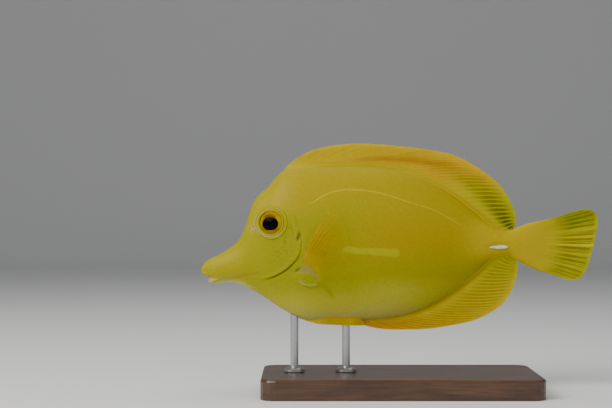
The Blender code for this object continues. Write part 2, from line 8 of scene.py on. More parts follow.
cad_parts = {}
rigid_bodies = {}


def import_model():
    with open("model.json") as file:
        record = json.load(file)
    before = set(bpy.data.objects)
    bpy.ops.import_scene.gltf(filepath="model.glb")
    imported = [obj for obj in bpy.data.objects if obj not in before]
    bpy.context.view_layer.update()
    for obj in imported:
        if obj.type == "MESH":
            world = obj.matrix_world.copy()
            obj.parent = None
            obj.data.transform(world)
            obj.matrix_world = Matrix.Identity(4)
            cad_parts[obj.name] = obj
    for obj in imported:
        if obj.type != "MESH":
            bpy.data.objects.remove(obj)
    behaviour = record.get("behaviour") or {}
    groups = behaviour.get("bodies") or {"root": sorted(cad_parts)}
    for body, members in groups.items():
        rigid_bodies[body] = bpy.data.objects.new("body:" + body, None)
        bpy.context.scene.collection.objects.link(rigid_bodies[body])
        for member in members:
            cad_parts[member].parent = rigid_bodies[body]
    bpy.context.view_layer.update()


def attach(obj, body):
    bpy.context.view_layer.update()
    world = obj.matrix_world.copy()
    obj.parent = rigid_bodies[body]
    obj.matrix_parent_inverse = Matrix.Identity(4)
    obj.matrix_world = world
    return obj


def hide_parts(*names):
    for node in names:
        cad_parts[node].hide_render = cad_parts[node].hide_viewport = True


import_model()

# the fish faces -X with its left side to -Y; shapes are worked out in millimetres from
# the tip of the snout (x back, z up from the long axis of the body) and then placed
place = {
    "length": 158.8,      # snout to tail tip
    "axisHeight": 59.2,   # long axis of the body above the floor
    "photoScale": 0.4,    # millimetres for one pixel of the photograph
    "metre": 0.001,       # of one millimetre
}
left, right = -1, 1


# small helpers for lines and surfaces

def smoothLine(points, steps=600):
    knots = np.array(points, float)
    chord = np.r_[0, np.cumsum(np.hypot(*np.diff(knots, axis=0).T))]
    count = len(knots)
    span = np.diff(chord)
    matrix = np.zeros((count, count))
    rightSide = np.zeros((count, 2))
    matrix[0, 0] = matrix[-1, -1] = 1
    for row in range(1, count - 1):
        matrix[row, row - 1:row + 2] = span[row - 1], 2 * (span[row - 1] + span[row]), span[row]
        ahead = (knots[row + 1] - knots[row]) / span[row]
        behind = (knots[row] - knots[row - 1]) / span[row - 1]
        rightSide[row] = 6 * (ahead - behind)
    bend = np.linalg.solve(matrix, rightSide)
    spot = np.linspace(0, chord[-1], steps)
    cell = np.clip(np.searchsorted(chord, spot) - 1, 0, count - 2)
    width = span[cell][:, None]
    after = (spot - chord[cell])[:, None] / width
    before = 1 - after
    line = before * knots[cell] + after * knots[cell + 1]
    line += ((before ** 3 - before) * bend[cell] + (after ** 3 - after) * bend[cell + 1]) * width ** 2 / 6
    return line


def pointOn(line, share):
    # the point at a share of a line's length; share may be an array
    length = np.r_[0, np.cumsum(np.hypot(*np.diff(line, axis=0).T))]
    spot = np.asarray(share) * length[-1]
    return np.stack([np.interp(spot, length, line[:, 0]), np.interp(spot, length, line[:, 1])], -1)


def asHeight(line):
    rising = np.maximum.accumulate(line[:, 0] + np.arange(len(line)) * 1e-9)
    return rising, line[:, 1]


def softStep(value):
    value = np.clip(value, 0, 1)
    return value * value * (3 - 2 * value)


def lineDistance(line, x, z):
    # distance of points from a line drawn in the side view, and the share along it
    best = np.full(np.shape(x), 1e9)
    share = np.zeros(np.shape(x))
    for number, (px, pz) in enumerate(line):
        gap = np.hypot(x - px, z - pz)
        closer = gap < best
        best = np.where(closer, gap, best)
        share = np.where(closer, number / (len(line) - 1), share)
    return best, share


def lineMark(points, x, z, width, fade):
    # 1 on a drawn line, softly 0 beyond its width and towards its two ends
    gap, share = lineDistance(smoothLine(points, 160), x, z)
    ends = softStep(share / fade) * softStep((1 - share) / fade)
    return np.exp(-(gap / width) ** 2) * ends


# outline of the body without its fins, as in the solids

body = {
    "back": [(0, -10.6), (0.3, -9.2), (1.2, -7.8), (3, -6.3), (6.5, -4.6), (10.1, -2.5), (13, -0.6),
             (15.4, 2.0), (17.2, 5.8), (18.8, 10.6), (21, 16.6), (23.6, 20.0), (26.6, 22.5),
             (28.4, 24.7), (31.6, 28.3), (35.6, 30.4), (42, 31.3), (58, 31.7), (70, 31.4),
             (78.4, 30.1), (86, 27.9), (93, 24.9), (100, 20.9), (107, 15.9), (113, 10.8),
             (118, 7.1), (122.4, 5.6), (127, 6.9), (131, 8.3)],
    "belly": [(0, -10.6), (0.3, -11.4), (1.6, -12.2), (2.9, -13.0), (3.4, -14.2), (4.4, -15.7),
              (6.5, -15.8), (10, -15.2), (14, -15.6), (18, -17.1), (24.4, -20.6), (30.8, -24.9),
              (35.6, -27.75), (38.4, -29.25), (41.6, -30.4), (46, -30.9), (54, -30.7), (62, -30.4),
              (72, -30.0), (80, -28.7), (88, -26.3), (96, -22.4), (103, -17.8), (109.6, -12.8),
              (115, -7.9), (119.5, -5.3), (123.5, -5.0), (127.5, -6.8), (131, -8.3)],
    "halfWidth": [(0, 0), (0.3, 0.95), (1, 1.6), (2.5, 2.15), (5, 2.65), (9, 3.3), (15, 4.5),
                  (22, 6.6), (29, 8.4), (38, 10.0), (50, 10.9), (62, 11.0), (76, 10.2), (90, 8.4),
                  (102, 6.1), (112, 4.3), (120, 3.2), (126, 2.5), (131, 2.1)],
    "roundness": 0.6,
    "end": 131.0,
    "gillEdge": [(32.4, 28.9), (35.2, 20), (38.2, 10.6), (39.8, 4.8), (40, -1.2), (38.9, -5),
                 (37, -7.4), (34.8, -9.5), (31.6, -11.6), (28.2, -13.1), (24.2, -14.3),
                 (21.6, -16.2), (20.4, -18.3)],
}
backLine = smoothLine(body["back"])
bellyLine = smoothLine(body["belly"])
gillLine = smoothLine(body["gillEdge"])
backHeight = asHeight(backLine)
bellyHeight = asHeight(bellyLine)
widthLine = asHeight(smoothLine(body["halfWidth"]))


def halfWidth(x, z):
    top = np.interp(x, *backHeight)
    bottom = np.interp(x, *bellyHeight)
    reach = np.maximum((top - bottom) / 2, 1e-6)
    level = np.clip((z - (top + bottom) / 2) / reach, -1, 1)
    return np.interp(x, *widthLine) * (1 - level ** 2) ** body["roundness"]


def bellyUnder(x, y):
    top = np.interp(x, *backHeight)
    bottom = np.interp(x, *bellyHeight)
    across = np.minimum(np.abs(y) / np.interp(x, *widthLine), 1)
    return (top + bottom) / 2 - (top - bottom) / 2 * np.sqrt(1 - across ** (1 / body["roundness"]))


def sideNormal(x, z, side):
    # direction out of the skin, for arrays of side points
    step = 0.15
    slopeX = (halfWidth(x + step, z) - halfWidth(x - step, z)) / (2 * step)
    slopeZ = (halfWidth(x, z + step) - halfWidth(x, z - step)) / (2 * step)
    out = np.stack([-slopeX, np.full(np.shape(x), float(side)), -slopeZ], -1)
    return out / np.linalg.norm(out, axis=-1, keepdims=True)


def sideFrame(x, z, side, sink=0.0):
    out = Vector(sideNormal(np.array(x, float), np.array(z, float), side))
    along = (Vector((1, 0, 0)) - out * out.x).normalized()
    spot = Vector((x, side * float(halfWidth(x, z)), z)) - out * sink
    return Matrix.Translation(spot) @ Matrix((along, out.cross(along), out)).transposed().to_4x4()


middleAt = Vector((-place["length"] / 2, 0, place["axisHeight"]))
toWorld = Matrix.Scale(place["metre"], 4) @ Matrix.Translation(middleAt)


def finishPiece(name, mesh, material, replaced=(), sharp=None):
    # from millimetres along the fish to its place, then onto the frame
    mesh.transform(toWorld)
    mesh.name = name
    mesh.materials.clear()
    mesh.materials.append(material)
    mesh.shade_smooth()
    if sharp:
        mesh.set_sharp_from_angle(angle=math.radians(sharp))
    piece = bpy.data.objects.new(name, mesh)
    bpy.context.scene.collection.objects.link(piece)
    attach(piece, "root")
    if replaced:
        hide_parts(*replaced)
    return piece


def gridMesh(across, along):
    # a flat grid whose corners carry their own place as u and v from 0 to 1
    shape = bmesh.new()
    bmesh.ops.create_grid(shape, x_segments=across, y_segments=along, size=0.5)
    mesh = bpy.data.meshes.new("grid")
    shape.to_mesh(mesh)
    shape.free()
    flat = np.zeros(len(mesh.vertices) * 3)
    mesh.vertices.foreach_get("co", flat)
    flat = flat.reshape(-1, 3)
    return mesh, np.round(flat[:, 0] + 0.5, 7), np.round(flat[:, 1] + 0.5, 7)


def setPoints(mesh, points):
    mesh.vertices.foreach_set("co", np.ascontiguousarray(points, dtype=float).ravel())
    mesh.update()


def addValues(mesh, values):
    for name, value in values.items():
        layer = mesh.attributes.new(name, "FLOAT", "POINT")
        layer.data.foreach_set("value", np.broadcast_to(value, len(mesh.vertices)).astype(float))


def addMap(mesh, u, v):
    layer = mesh.uv_layers.new(name="finMap")
    corner = np.zeros(len(mesh.loops), dtype=int)
    mesh.loops.foreach_get("vertex_index", corner)
    layer.data.foreach_set("uv", np.stack([u[corner], v[corner]], -1).ravel())


def closeSheet(mesh, nearPoints, farPoints):
    # a second face is copied behind the first and their rims are joined
    setPoints(mesh, nearPoints)
    count = len(mesh.vertices)
    shape = bmesh.new()
    shape.from_mesh(mesh)
    copied = bmesh.ops.duplicate(shape, geom=shape.verts[:] + shape.edges[:] + shape.faces[:])
    farFaces = [g for g in copied["geom"] if isinstance(g, bmesh.types.BMFace)]
    bmesh.ops.reverse_faces(shape, faces=farFaces)
    shape.verts.ensure_lookup_table()
    shape.verts.index_update()
    for number in range(count):
        shape.verts[count + number].co = farPoints[number]
    rim = [edge for edge in shape.edges if edge.is_boundary]
    bmesh.ops.bridge_loops(shape, edges=rim)
    bmesh.ops.recalc_face_normals(shape, faces=shape.faces)
    shape.to_mesh(mesh)
    shape.free()
    return mesh


def addModifierMesh(piece):
    # apply the modifiers of a piece for good
    evaluated = piece.evaluated_get(bpy.context.evaluated_depsgraph_get())
    mesh = bpy.data.meshes.new_from_object(evaluated, preserve_all_data_layers=True,
                                           depsgraph=bpy.context.evaluated_depsgraph_get())
    old = piece.data
    piece.modifiers.clear()
    piece.data = mesh
    mesh.name = old.name
    bpy.data.meshes.remove(old)


# camera, floor and light

camera = {
    "lens": 100.0,
    "sensor": 36.0,
    "imageWidth": 612, "imageHeight": 408,
    "snoutPixel": 201.0, "axisPixel": 244.0,   # where the photograph has the snout tip and the axis
}
paper = {
    "front": -1.8, "back": 1.3, "bend": 0.5, "bendAngle": 88, "bendSteps": 24,
    "rise": 1.2, "lean": 0.05, "width": 5.0, "tint": (0.86, 0.86, 0.85), "roughness": 0.85,
}
light = {
    "key": {"at": (-0.52, -0.5, 0.55), "size": 0.5, "watts": 6.8, "tint": (1.0, 0.98, 0.94)},
    "fill": {"at": (0.55, -0.75, 0.25), "size": 0.9, "watts": 1.3, "tint": (0.97, 0.98, 1.0)},
    "top": {"at": (0.05, 0.1, 0.75), "size": 0.6, "watts": 2.6, "tint": (1.0, 1.0, 1.0)},
    "aim": (-0.01, 0, 0.06),
    "world": 0.16, "sky": (0.92, 0.95, 1.0),
}


def makeCamera():
    metre = place["metre"]
    pixel = place["photoScale"] * metre
    distance = camera["lens"] / camera["sensor"] * camera["imageWidth"] * pixel
    middleX = (camera["imageWidth"] / 2 - camera["snoutPixel"]) * pixel - place["length"] / 2 * metre
    middleZ = place["axisHeight"] * metre + (camera["axisPixel"] - camera["imageHeight"] / 2) * pixel
    data = bpy.data.cameras.new("camera")
    data.lens = camera["lens"]
    data.sensor_width = camera["sensor"]
    data.clip_start = 0.01
    holder = bpy.data.objects.new("camera", data)
    holder.location = (middleX, -distance, middleZ)
    holder.rotation_euler = (math.radians(90), 0, 0)
    bpy.context.scene.collection.objects.link(holder)
    bpy.context.scene.camera = holder
    print("camera set at", [round(v, 4) for v in holder.location])


def makeStage():
    shape = bmesh.new()
    edge = [shape.verts.new((0, paper["front"], 0)), shape.verts.new((0, paper["back"], 0))]
    shape.edges.new(edge)
    bend = bmesh.ops.spin(shape, geom=[edge[1]], cent=(0, paper["back"], paper["bend"]), axis=(1, 0, 0),
                          dvec=(0, 0, 0), angle=math.radians(paper["bendAngle"]), steps=paper["bendSteps"],
                          use_merge=False, use_duplicate=False)
    last = [g for g in bend["geom_last"] if isinstance(g, bmesh.types.BMVert)][0]
    rise = shape.verts.new((last.co.x, last.co.y + paper["lean"], last.co.z + paper["rise"]))
    shape.edges.new((last, rise))
    sheet = bmesh.ops.extrude_edge_only(shape, edges=shape.edges[:])
    moved = [g for g in sheet["geom"] if isinstance(g, bmesh.types.BMVert)]
    bmesh.ops.translate(shape, verts=moved, vec=(paper["width"], 0, 0))
    bmesh.ops.translate(shape, verts=shape.verts, vec=(-paper["width"] / 2, 0, 0))
    bmesh.ops.recalc_face_normals(shape, faces=shape.faces)
    mesh = bpy.data.meshes.new("floor")
    shape.to_mesh(mesh)
    shape.free()
    mesh.shade_smooth()
    floor = bpy.data.objects.new("floor", mesh)
    bpy.context.scene.collection.objects.link(floor)
    material = bpy.data.materials.new("palePaper")
    material.use_nodes = True
    shader = material.node_tree.nodes["Principled BSDF"]
    shader.inputs["Base Color"].default_value = (*paper["tint"], 1)
    shader.inputs["Roughness"].default_value = paper["roughness"]
    mesh.materials.append(material)


def makeLights():
    for name in ("key", "fill", "top"):
        values = light[name]
        data = bpy.data.lights.new(name, "AREA")
        data.energy = values["watts"]
        data.size = values["size"]
        data.color = values["tint"]
        lamp = bpy.data.objects.new(name, data)
        lamp.location = values["at"]
        aim = Vector(light["aim"]) - lamp.location
        lamp.rotation_euler = aim.to_track_quat("-Z", "Y").to_euler()
        bpy.context.scene.collection.objects.link(lamp)
    world = bpy.data.worlds.new("studio")
    world.use_nodes = True
    sky = world.node_tree.nodes["Background"]
    sky.inputs["Color"].default_value = (*light["sky"], 1)
    sky.inputs["Strength"].default_value = light["world"]
    bpy.context.scene.world = world


makeCamera()
makeStage()
makeLights()
print("stage and lights made")


# node helpers for materials

def newMaterial(name, roughness, **fixed):
    material = bpy.data.materials.new(name)
    material.use_nodes = True
    shader = material.node_tree.nodes["Principled BSDF"]
    shader.inputs["Roughness"].default_value = roughness
    for socket, value in fixed.items():
        shader.inputs[socket].default_value = value
    return material, material.node_tree, shader


def addNode(tree, kind, inputs=None, **settings):
    node = tree.nodes.new(kind)
    for name, value in settings.items():
        setattr(node, name, value)
    for name, value in (inputs or {}).items():
        if isinstance(value, bpy.types.NodeSocket):
            tree.links.new(value, node.inputs[name])
        else:
            node.inputs[name].default_value = value
    return node


def readValue(tree, name):
    return addNode(tree, "ShaderNodeAttribute", attribute_name=name).outputs["Fac"]


def mixColour(tree, factor, first, second, mode="MIX"):
    node = addNode(tree, "ShaderNodeMix", data_type="RGBA", blend_type=mode)
    for socket, value in ((0, factor), (6, first), (7, second)):
        if isinstance(value, bpy.types.NodeSocket):
            tree.links.new(value, node.inputs[socket])
        elif socket == 0:
            node.inputs[socket].default_value = value
        else:
            node.inputs[socket].default_value = (*value, 1)
    return node.outputs[2]


def sums(tree, operation, first, second=0.0, third=0.0, clamp=False):
    node = addNode(tree, "ShaderNodeMath", operation=operation, use_clamp=clamp)
    for socket, value in enumerate((first, second, third)):
        if isinstance(value, bpy.types.NodeSocket):
            tree.links.new(value, node.inputs[socket])
        else:
            node.inputs[socket].default_value = value
    return node.outputs[0]


def mapRange(tree, value, fromMin, fromMax, toMin=0.0, toMax=1.0, blend="LINEAR"):
    return addNode(tree, "ShaderNodeMapRange", {
        "Value": value, "From Min": fromMin, "From Max": fromMax, "To Min": toMin, "To Max": toMax,
    }, interpolation_type=blend).outputs["Result"]


def noise(tree, spot, scale, detail, distortion=0.0):
    return addNode(tree, "ShaderNodeTexNoise", {
        "Vector": spot, "Scale": scale, "Detail": detail, "Distortion": distortion,
    }).outputs["Fac"]


def stretched(tree, spot, scale, turn=(0, 0, 0)):
    return addNode(tree, "ShaderNodeMapping", {
        "Vector": spot, "Rotation": turn, "Scale": scale,
    }).outputs["Vector"]


def addBump(tree, shader, height, strength, distance):
    bump = addNode(tree, "ShaderNodeBump", {"Height": height, "Strength": strength, "Distance": distance})
    tree.links.new(bump.outputs["Normal"], shader.inputs["Normal"])


def colourRamp(tree, factor, stops):
    node = addNode(tree, "ShaderNodeValToRGB", {"Fac": factor})
    ramp = node.color_ramp
    while len(ramp.elements) < len(stops):
        ramp.elements.new(0.5)
    for element, (spot, colour) in zip(ramp.elements, stops):
        element.position = spot
        element.color = (*colour, 1)
    return node.outputs["Color"]


def makeScaleRelief():
    # fine velvety scales: height and a faint colour change, on Object coordinates
    group = bpy.data.node_groups.new("scaleRelief", "ShaderNodeTree")
    group.interface.new_socket("Size", in_out="INPUT", socket_type="NodeSocketFloat")
    group.interface.new_socket("Height", in_out="OUTPUT", socket_type="NodeSocketFloat")
    group.interface.new_socket("Tone", in_out="OUTPUT", socket_type="NodeSocketFloat")
    start = group.nodes.new("NodeGroupInput")
    end = group.nodes.new("NodeGroupOutput")
    coordinates = addNode(group, "ShaderNodeTexCoord").outputs["Object"]
    stretched = addNode(group, "ShaderNodeMapping", {"Vector": coordinates, "Scale": (0.62, 0.62, 1.0)})
    cells = addNode(group, "ShaderNodeTexVoronoi", {"Vector": stretched.outputs["Vector"],
                                                    "Scale": start.outputs["Size"]}, feature="F1")
    patches = addNode(group, "ShaderNodeTexNoise", {"Vector": coordinates, "Scale": 90.0, "Detail": 4.0})
    tone = sums(group, "MULTIPLY_ADD", cells.outputs["Distance"], -0.6, 0.8)
    tone = sums(group, "MULTIPLY", tone, sums(group, "MULTIPLY_ADD", patches.outputs["Fac"], 0.5, 0.75))
    group.links.new(sums(group, "SUBTRACT", 1.0, cells.outputs["Distance"]), end.inputs["Height"])
    group.links.new(tone, end.inputs["Tone"])
    return group


scaleRelief = makeScaleRelief()


# skin of head, body and tail stalk in one piece

skin = {
    "headColumns": 200, "bodyColumns": 190, "rows": 112,
    "gillLift": 0.32, "gillSink": 0.22, "gillFrom": 0.36, "gillTo": 0.93,
    "slitDepth": 0.75, "throatDepth": 0.35, "jawDepth": 0.10, "foldDepth": 0.10,
    "eyeRise": 0.35, "eyeRiseTo": 8.6, "eyeRiseOver": 3.4,
    "spinePit": (4.9, 1.75), "spinePitDepth": 0.32, "spineTaper": 0.28,
    "eyeRoom": 0.5, "nostrilFlat": 0.7, "nostrilDepth": 0.8, "nostrilSink": -0.1,
    "lipEnd": 0.12, "lipTaper": 0.6, "softBefore": 8.5, "softRounds": 3, "merge": 0.0005, "mouthMerge": 0.004,
    "templeFolds": [[(36.6, 13.2), (38.2, 9.6), (38.7, 5.8)], [(35.6, 8.6), (36.9, 5.4), (36.9, 2.6)]],
    "pore": (33.8, 1.4),
    "eye": (28.1, 8.65), "eyeRadius": 4.9, "eyeDepth": 2.7, "eyeSink": 1.25,
    "lateralLine": [(38.6, 13.2), (41.6, 14.8), (46.3, 17.6), (51.6, 20.4), (58.3, 21.6), (68.3, 20.9),
                    (75, 19.3), (83, 16.6), (91.6, 14.0), (98.3, 10.6), (105, 6.9), (113, 1.6)],
    "barFrom": (57.6, -2.1), "barTo": (77.4, -3.3), "barHalf": (1.15, 1.55),
    "gillSlit": [(39.8, 5.3), (39.3, 3.6), (38.3, 1.3)],
    "gillCrease": [(40.0, -1.4), (39.5, -3.6), (38.3, -5.6), (35.3, -9.0), (31.6, -11.6), (28.0, -13.2),
                   (24.2, -14.3)],
    "throatCrease": [(39.9, -9.1), (38.6, -10.2), (37.4, -10.8)],
    "jawLine": [(6.8, -13.9), (13.6, -13.6), (19, -12.3), (25.6, -11.2)],
    "finBase": (42.6, -13.9), "finBaseReach": (5.4, 2.7), "finBaseTurn": 19.0, "finBaseLift": 0.4,
    "lilacLine": [(41.0, -9.8), (42.8, -9.9), (44.6, -11.0), (46.2, -12.8), (47.4, -15.2)],
    "shadeSpot": [(47.6, -15.6), (49.6, -17.0), (51.6, -19.2), (53.4, -22.4)],
    "spine": (118.7, -1.2), "spineSize": (3.9, 0.95, 0.75), "endSink": 0.4,
    "upperLip": {"front": (0.95, -11.25), "corner": (5.6, -12.75), "side": 2.2, "radius": 0.95},
    "lowerLip": {"front": (3.9, -14.6), "corner": (7.2, -14.0), "side": 2.0, "radius": 1.1},
    "mouthLine": {"front": (2.5, -13.0), "corner": (6.2, -13.3), "side": 2.6, "radius": 0.26},
    "nostrils": [(19.7, 6.3, 0.38), (21.0, 7.0, 0.3)],
}


liftWay = np.array([0.35, 1, 0.35])   # raised parts stand out more sideways than along the body


def headPlace(along, around):
    backPart = backLine[backLine[:, 0] <= body["gillEdge"][0][0]]
    bellyPart = bellyLine[bellyLine[:, 0] <= body["gillEdge"][-1][0]]
    top = pointOn(backPart, along)
    bottom = pointOn(bellyPart, along)
    straight = gillLine[0] + (gillLine[-1] - gillLine[0]) * around[:, None]
    bow = (pointOn(gillLine, around) - straight) * (along ** 1.6)[:, None]
    return top + (bottom - top) * around[:, None] + bow


def bodyPlace(along, around):
    backPart = backLine[backLine[:, 0] >= body["gillEdge"][0][0]]
    bellyPart = bellyLine[bellyLine[:, 0] >= body["gillEdge"][-1][0]]
    top = pointOn(backPart, along)
    bottom = pointOn(bellyPart, along)
    straight = gillLine[0] + (gillLine[-1] - gillLine[0]) * around[:, None]
    bow = (pointOn(gillLine, around) - straight) * ((1 - along) ** 5)[:, None]
    return top + (bottom - top) * around[:, None] + bow


def padShare(x, z):
    # 1 in the fleshy root of the breast fin and softly 0 beyond its rim
    turn = math.radians(skin["finBaseTurn"])
    dx, dz = x - skin["finBase"][0], z - skin["finBase"][1]
    along = (dx * math.cos(turn) - dz * math.sin(turn)) / skin["finBaseReach"][0]
    across = (dx * math.sin(turn) + dz * math.cos(turn)) / skin["finBaseReach"][1]
    return softStep((1.3 - np.hypot(along, across)) / 0.6)


def eyeRise(gap):
    # the head stands out a little round the eye
    return skin["eyeRise"] * softStep((skin["eyeRiseTo"] - gap) / skin["eyeRiseOver"])


def skinLift(x, z, along, inHead, around):
    # how far the surface stands out or in beside the plain body
    band = softStep((around - skin["gillFrom"]) / 0.09) * softStep((skin["gillTo"] - around) / 0.12)
    band = band * (0.5 + 0.5 * softStep((around - 0.5) / 0.15))
    beforeEdge = np.where(inHead, softStep(1 - (1 - along) * 11), 0)
    afterEdge = np.where(inHead, 0, softStep(1 - along * 42))
    lift = band * (skin["gillLift"] * beforeEdge - skin["gillSink"] * afterEdge)
    lift -= skin["slitDepth"] * lineMark(skin["gillSlit"], x, z, 0.34, 0.3)
    lift -= skin["throatDepth"] * lineMark(skin["throatCrease"], x, z, 0.4, 0.3)
    lift -= skin["jawDepth"] * lineMark(skin["jawLine"], x, z, 0.5, 0.2)
    for fold in skin["templeFolds"]:
        lift -= skin["foldDepth"] * lineMark(fold, x, z, 0.35, 0.3)
    lift += skin["finBaseLift"] * padShare(x, z)
    eyeGap = np.hypot(x - skin["eye"][0], z - skin["eye"][1])
    lift += eyeRise(eyeGap)
    pitLength, pitHeight = skin["spinePit"]
    spineGap = np.hypot((x - skin["spine"][0]) / pitLength, (z - skin["spine"][1]) / pitHeight)
    lift -= skin["spinePitDepth"] * softStep((1.25 - spineGap) / 0.5)
    lift -= skin["endSink"] * softStep((x - body["end"] + 3.5) / 3.0)
    return lift


def skinValues(x, z):
    # drawn marks that the colour of the skin reads
    eyeGap = np.hypot(x - skin["eye"][0], z - skin["eye"][1])
    olive = (1 - softStep((x - 44) / 34)) * (1 - softStep((z - 2 - 0.25 * np.maximum(x - 24, 0)) / 13))
    gillFade = 1 - 0.5 * softStep((z + 9) / 4)     # the crease of the gill cover is fainter at its top
    poreGap = np.hypot(x - skin["pore"][0], z - skin["pore"][1])
    throatGap = z - np.interp(x, *bellyHeight)
    lilacGap, lilacShare = lineDistance(smoothLine(skin["lilacLine"], 60), x, z)
    return {
        "olive": olive * softStep((x - 10) / 18) * softStep((z + 24) / 10),
        "stalk": np.maximum(softStep((x - 98) / 18) * (1 - softStep((np.abs(z - 2) - 4) / 7)),
                            softStep((x - 115) / 9)),
        # painted shade in the gill slit, in the creases of the gill cover and throat, and in a dark pore
        "crease": np.maximum.reduce([lineMark(skin["gillSlit"], x, z, 0.5, 0.3),
                                     lineMark(skin["gillCrease"], x, z, 0.36, 0.22) * gillFade,
                                     lineMark(skin["throatCrease"], x, z, 0.4, 0.3),
                                     0.7 * np.exp(-poreGap ** 2 / 0.2)]),
        # painted shade along the temple folds
        "fold": 0.5 * sum(lineMark(fold, x, z, 0.4, 0.3) for fold in skin["templeFolds"]),
        "jaw": lineMark(skin["jawLine"], x, z, 0.55, 0.2),
        "throat": np.exp(-(throatGap / 1.7) ** 2) * softStep((x - 4) / 3) * softStep((24 - x) / 8),
        "lip": np.exp(-((x - 4.0) / 1.9) ** 2 - ((z + 14.7) / 1.2) ** 2),
        "eyeHalo": softStep((7.6 - eyeGap) / 2.2) * softStep((13 - z) / 9),
        "cheek": softStep((x - 25) / 5) * softStep((40 - x) / 4)
                 * softStep((z + 13) / 6) * softStep((11 - z) / 5),
        "peach": np.exp(-(np.hypot(x - 20.4, z - 6.5) / 1.5) ** 2),
        "lilac": np.exp(-(lilacGap / (1.25 - 0.75 * lilacShare)) ** 2) * (1 - 0.45 * lilacShare),
        # painted shadow of the breast fin on the flank below its root
        "dusk": lineMark(skin["shadeSpot"], x, z, 0.9, 0.35),
    }


def skinSurface():
    columns = skin["headColumns"] + skin["bodyColumns"]
    mesh, u, v = gridMesh(columns, skin["rows"])
    column = np.rint(u * columns).astype(int)
    inHead = column <= skin["headColumns"]
    headAlong = np.clip(column / skin["headColumns"], 0, 1)
    headAlong = headAlong ** 1.25
    bodyAlong = np.clip((column - skin["headColumns"]) / skin["bodyColumns"], 0, 1)
    bodyAlong = 0.55 * bodyAlong + 0.45 * bodyAlong ** 2     # closer columns behind the gill cover
    around = (1 - np.cos(np.pi * v)) / 2
    spot = np.where(inHead[:, None], headPlace(headAlong, around), bodyPlace(bodyAlong, around))
    x, z = spot[:, 0], spot[:, 1]
    along = np.where(inHead, headAlong, bodyAlong)
    edge = (v < 1e-6) | (v > 1 - 1e-6) | (u < 1e-6)
    half = np.where(edge, 0, halfWidth(x, z))
    fade = softStep(half / 1.5)
    lift = np.where(edge, 0, skinLift(x, z, along, inHead, around) * fade)
    out = sideNormal(x, z, left)
    points = np.stack([x, -half, z], -1) + out * lift[:, None] * liftWay
    points[edge, 1] = 0
    setPoints(mesh, points)
    return mesh


def beadRound(values, sides=20, steps=40):
    # a lip: a ring extruded round the front of the mouth from corner to corner
    shape = bmesh.new()
    frontX, frontZ = values["front"]
    cornerX, cornerZ = values["corner"]
    ring = None
    for number in range(steps + 1):
        turn = math.pi * (number / steps - 0.5)
        share = 1 - math.cos(turn)
        centre = Vector((frontX + (cornerX - frontX) * share, values["side"] * math.sin(turn),
                         frontZ + (cornerZ - frontZ) * share))
        heading = Vector(((cornerX - frontX) * math.sin(turn), values["side"] * math.cos(turn),
                          (cornerZ - frontZ) * math.sin(turn))).normalized()
        full = max(math.cos(turn), 0) ** skin["lipTaper"]
        radius = values["radius"] * (skin["lipEnd"] + (1 - skin["lipEnd"]) * full)
        made = bmesh.ops.create_circle(shape, segments=sides, radius=radius, cap_ends=number in (0, steps))
        turnTo = heading.to_track_quat("Z", "X").to_matrix().to_4x4()
        bmesh.ops.transform(shape, matrix=Matrix.Translation(centre) @ turnTo, verts=made["verts"])
        edges = list({e for w in made["verts"] for e in w.link_edges})
        if ring:
            bmesh.ops.bridge_loops(shape, edges=ring + edges)
        ring = edges
    bmesh.ops.recalc_face_normals(shape, faces=shape.faces)
    return shape


def eyeHollow(side, extra):
    shape = bmesh.new()
    bmesh.ops.create_uvsphere(shape, u_segments=48, v_segments=24, radius=1)
    radius, depth = skin["eyeRadius"] + extra, skin["eyeDepth"] + extra
    matrix = sideFrame(*skin["eye"], side, skin["eyeSink"]) @ Matrix.Diagonal((radius, radius, depth, 1))
    bmesh.ops.transform(shape, matrix=matrix, verts=shape.verts)
    bmesh.ops.recalc_face_normals(shape, faces=shape.faces)
    return shape


def nostrilPit(x, z, radius, side):
    shape = bmesh.new()
    bmesh.ops.create_uvsphere(shape, u_segments=16, v_segments=10, radius=1)
    size = (radius, radius * skin["nostrilFlat"], skin["nostrilDepth"], 1)
    matrix = sideFrame(x, z, side, skin["nostrilSink"]) @ Matrix.Diagonal(size)
    bmesh.ops.transform(shape, matrix=matrix, verts=shape.verts)
    bmesh.ops.recalc_face_normals(shape, faces=shape.faces)
    return shape


def bladeShape(side, extra=0.0, fine=1):
    # the folded tail blade, pointed in front and blunt at its hinge
    shape = bmesh.new()
    bmesh.ops.create_uvsphere(shape, u_segments=24 * fine, v_segments=16 * fine, radius=1)
    bmesh.ops.rotate(shape, verts=shape.verts, matrix=Matrix.Rotation(math.pi / 2, 3, "Y"))
    for corner in shape.verts:
        taper = 1 - skin["spineTaper"] * (1 - corner.co.x)
        corner.co.y *= taper
        corner.co.z *= taper
    size = [value + extra for value in skin["spineSize"]]
    matrix = sideFrame(*skin["spine"], side) @ Matrix.Diagonal((*size, 1))
    bmesh.ops.transform(shape, matrix=matrix, verts=shape.verts)
    bmesh.ops.recalc_face_normals(shape, faces=shape.faces)
    return shape


def boolean(piece, shapes, operation):
    group = bpy.data.collections.new("cutters")
    for shape in shapes:
        mesh = bpy.data.meshes.new("cutter")
        shape.to_mesh(mesh)
        shape.free()
        group.objects.link(bpy.data.objects.new("cutter", mesh))
    bpy.context.scene.collection.children.link(group)
    modifier = piece.modifiers.new("boolean", "BOOLEAN")
    modifier.operand_type = "COLLECTION"
    modifier.collection = group
    modifier.operation = operation
    modifier.solver = "MANIFOLD"
    addModifierMesh(piece)
    for cutter in list(group.objects):
        bpy.data.objects.remove(cutter, do_unlink=True)
    bpy.data.collections.remove(group)


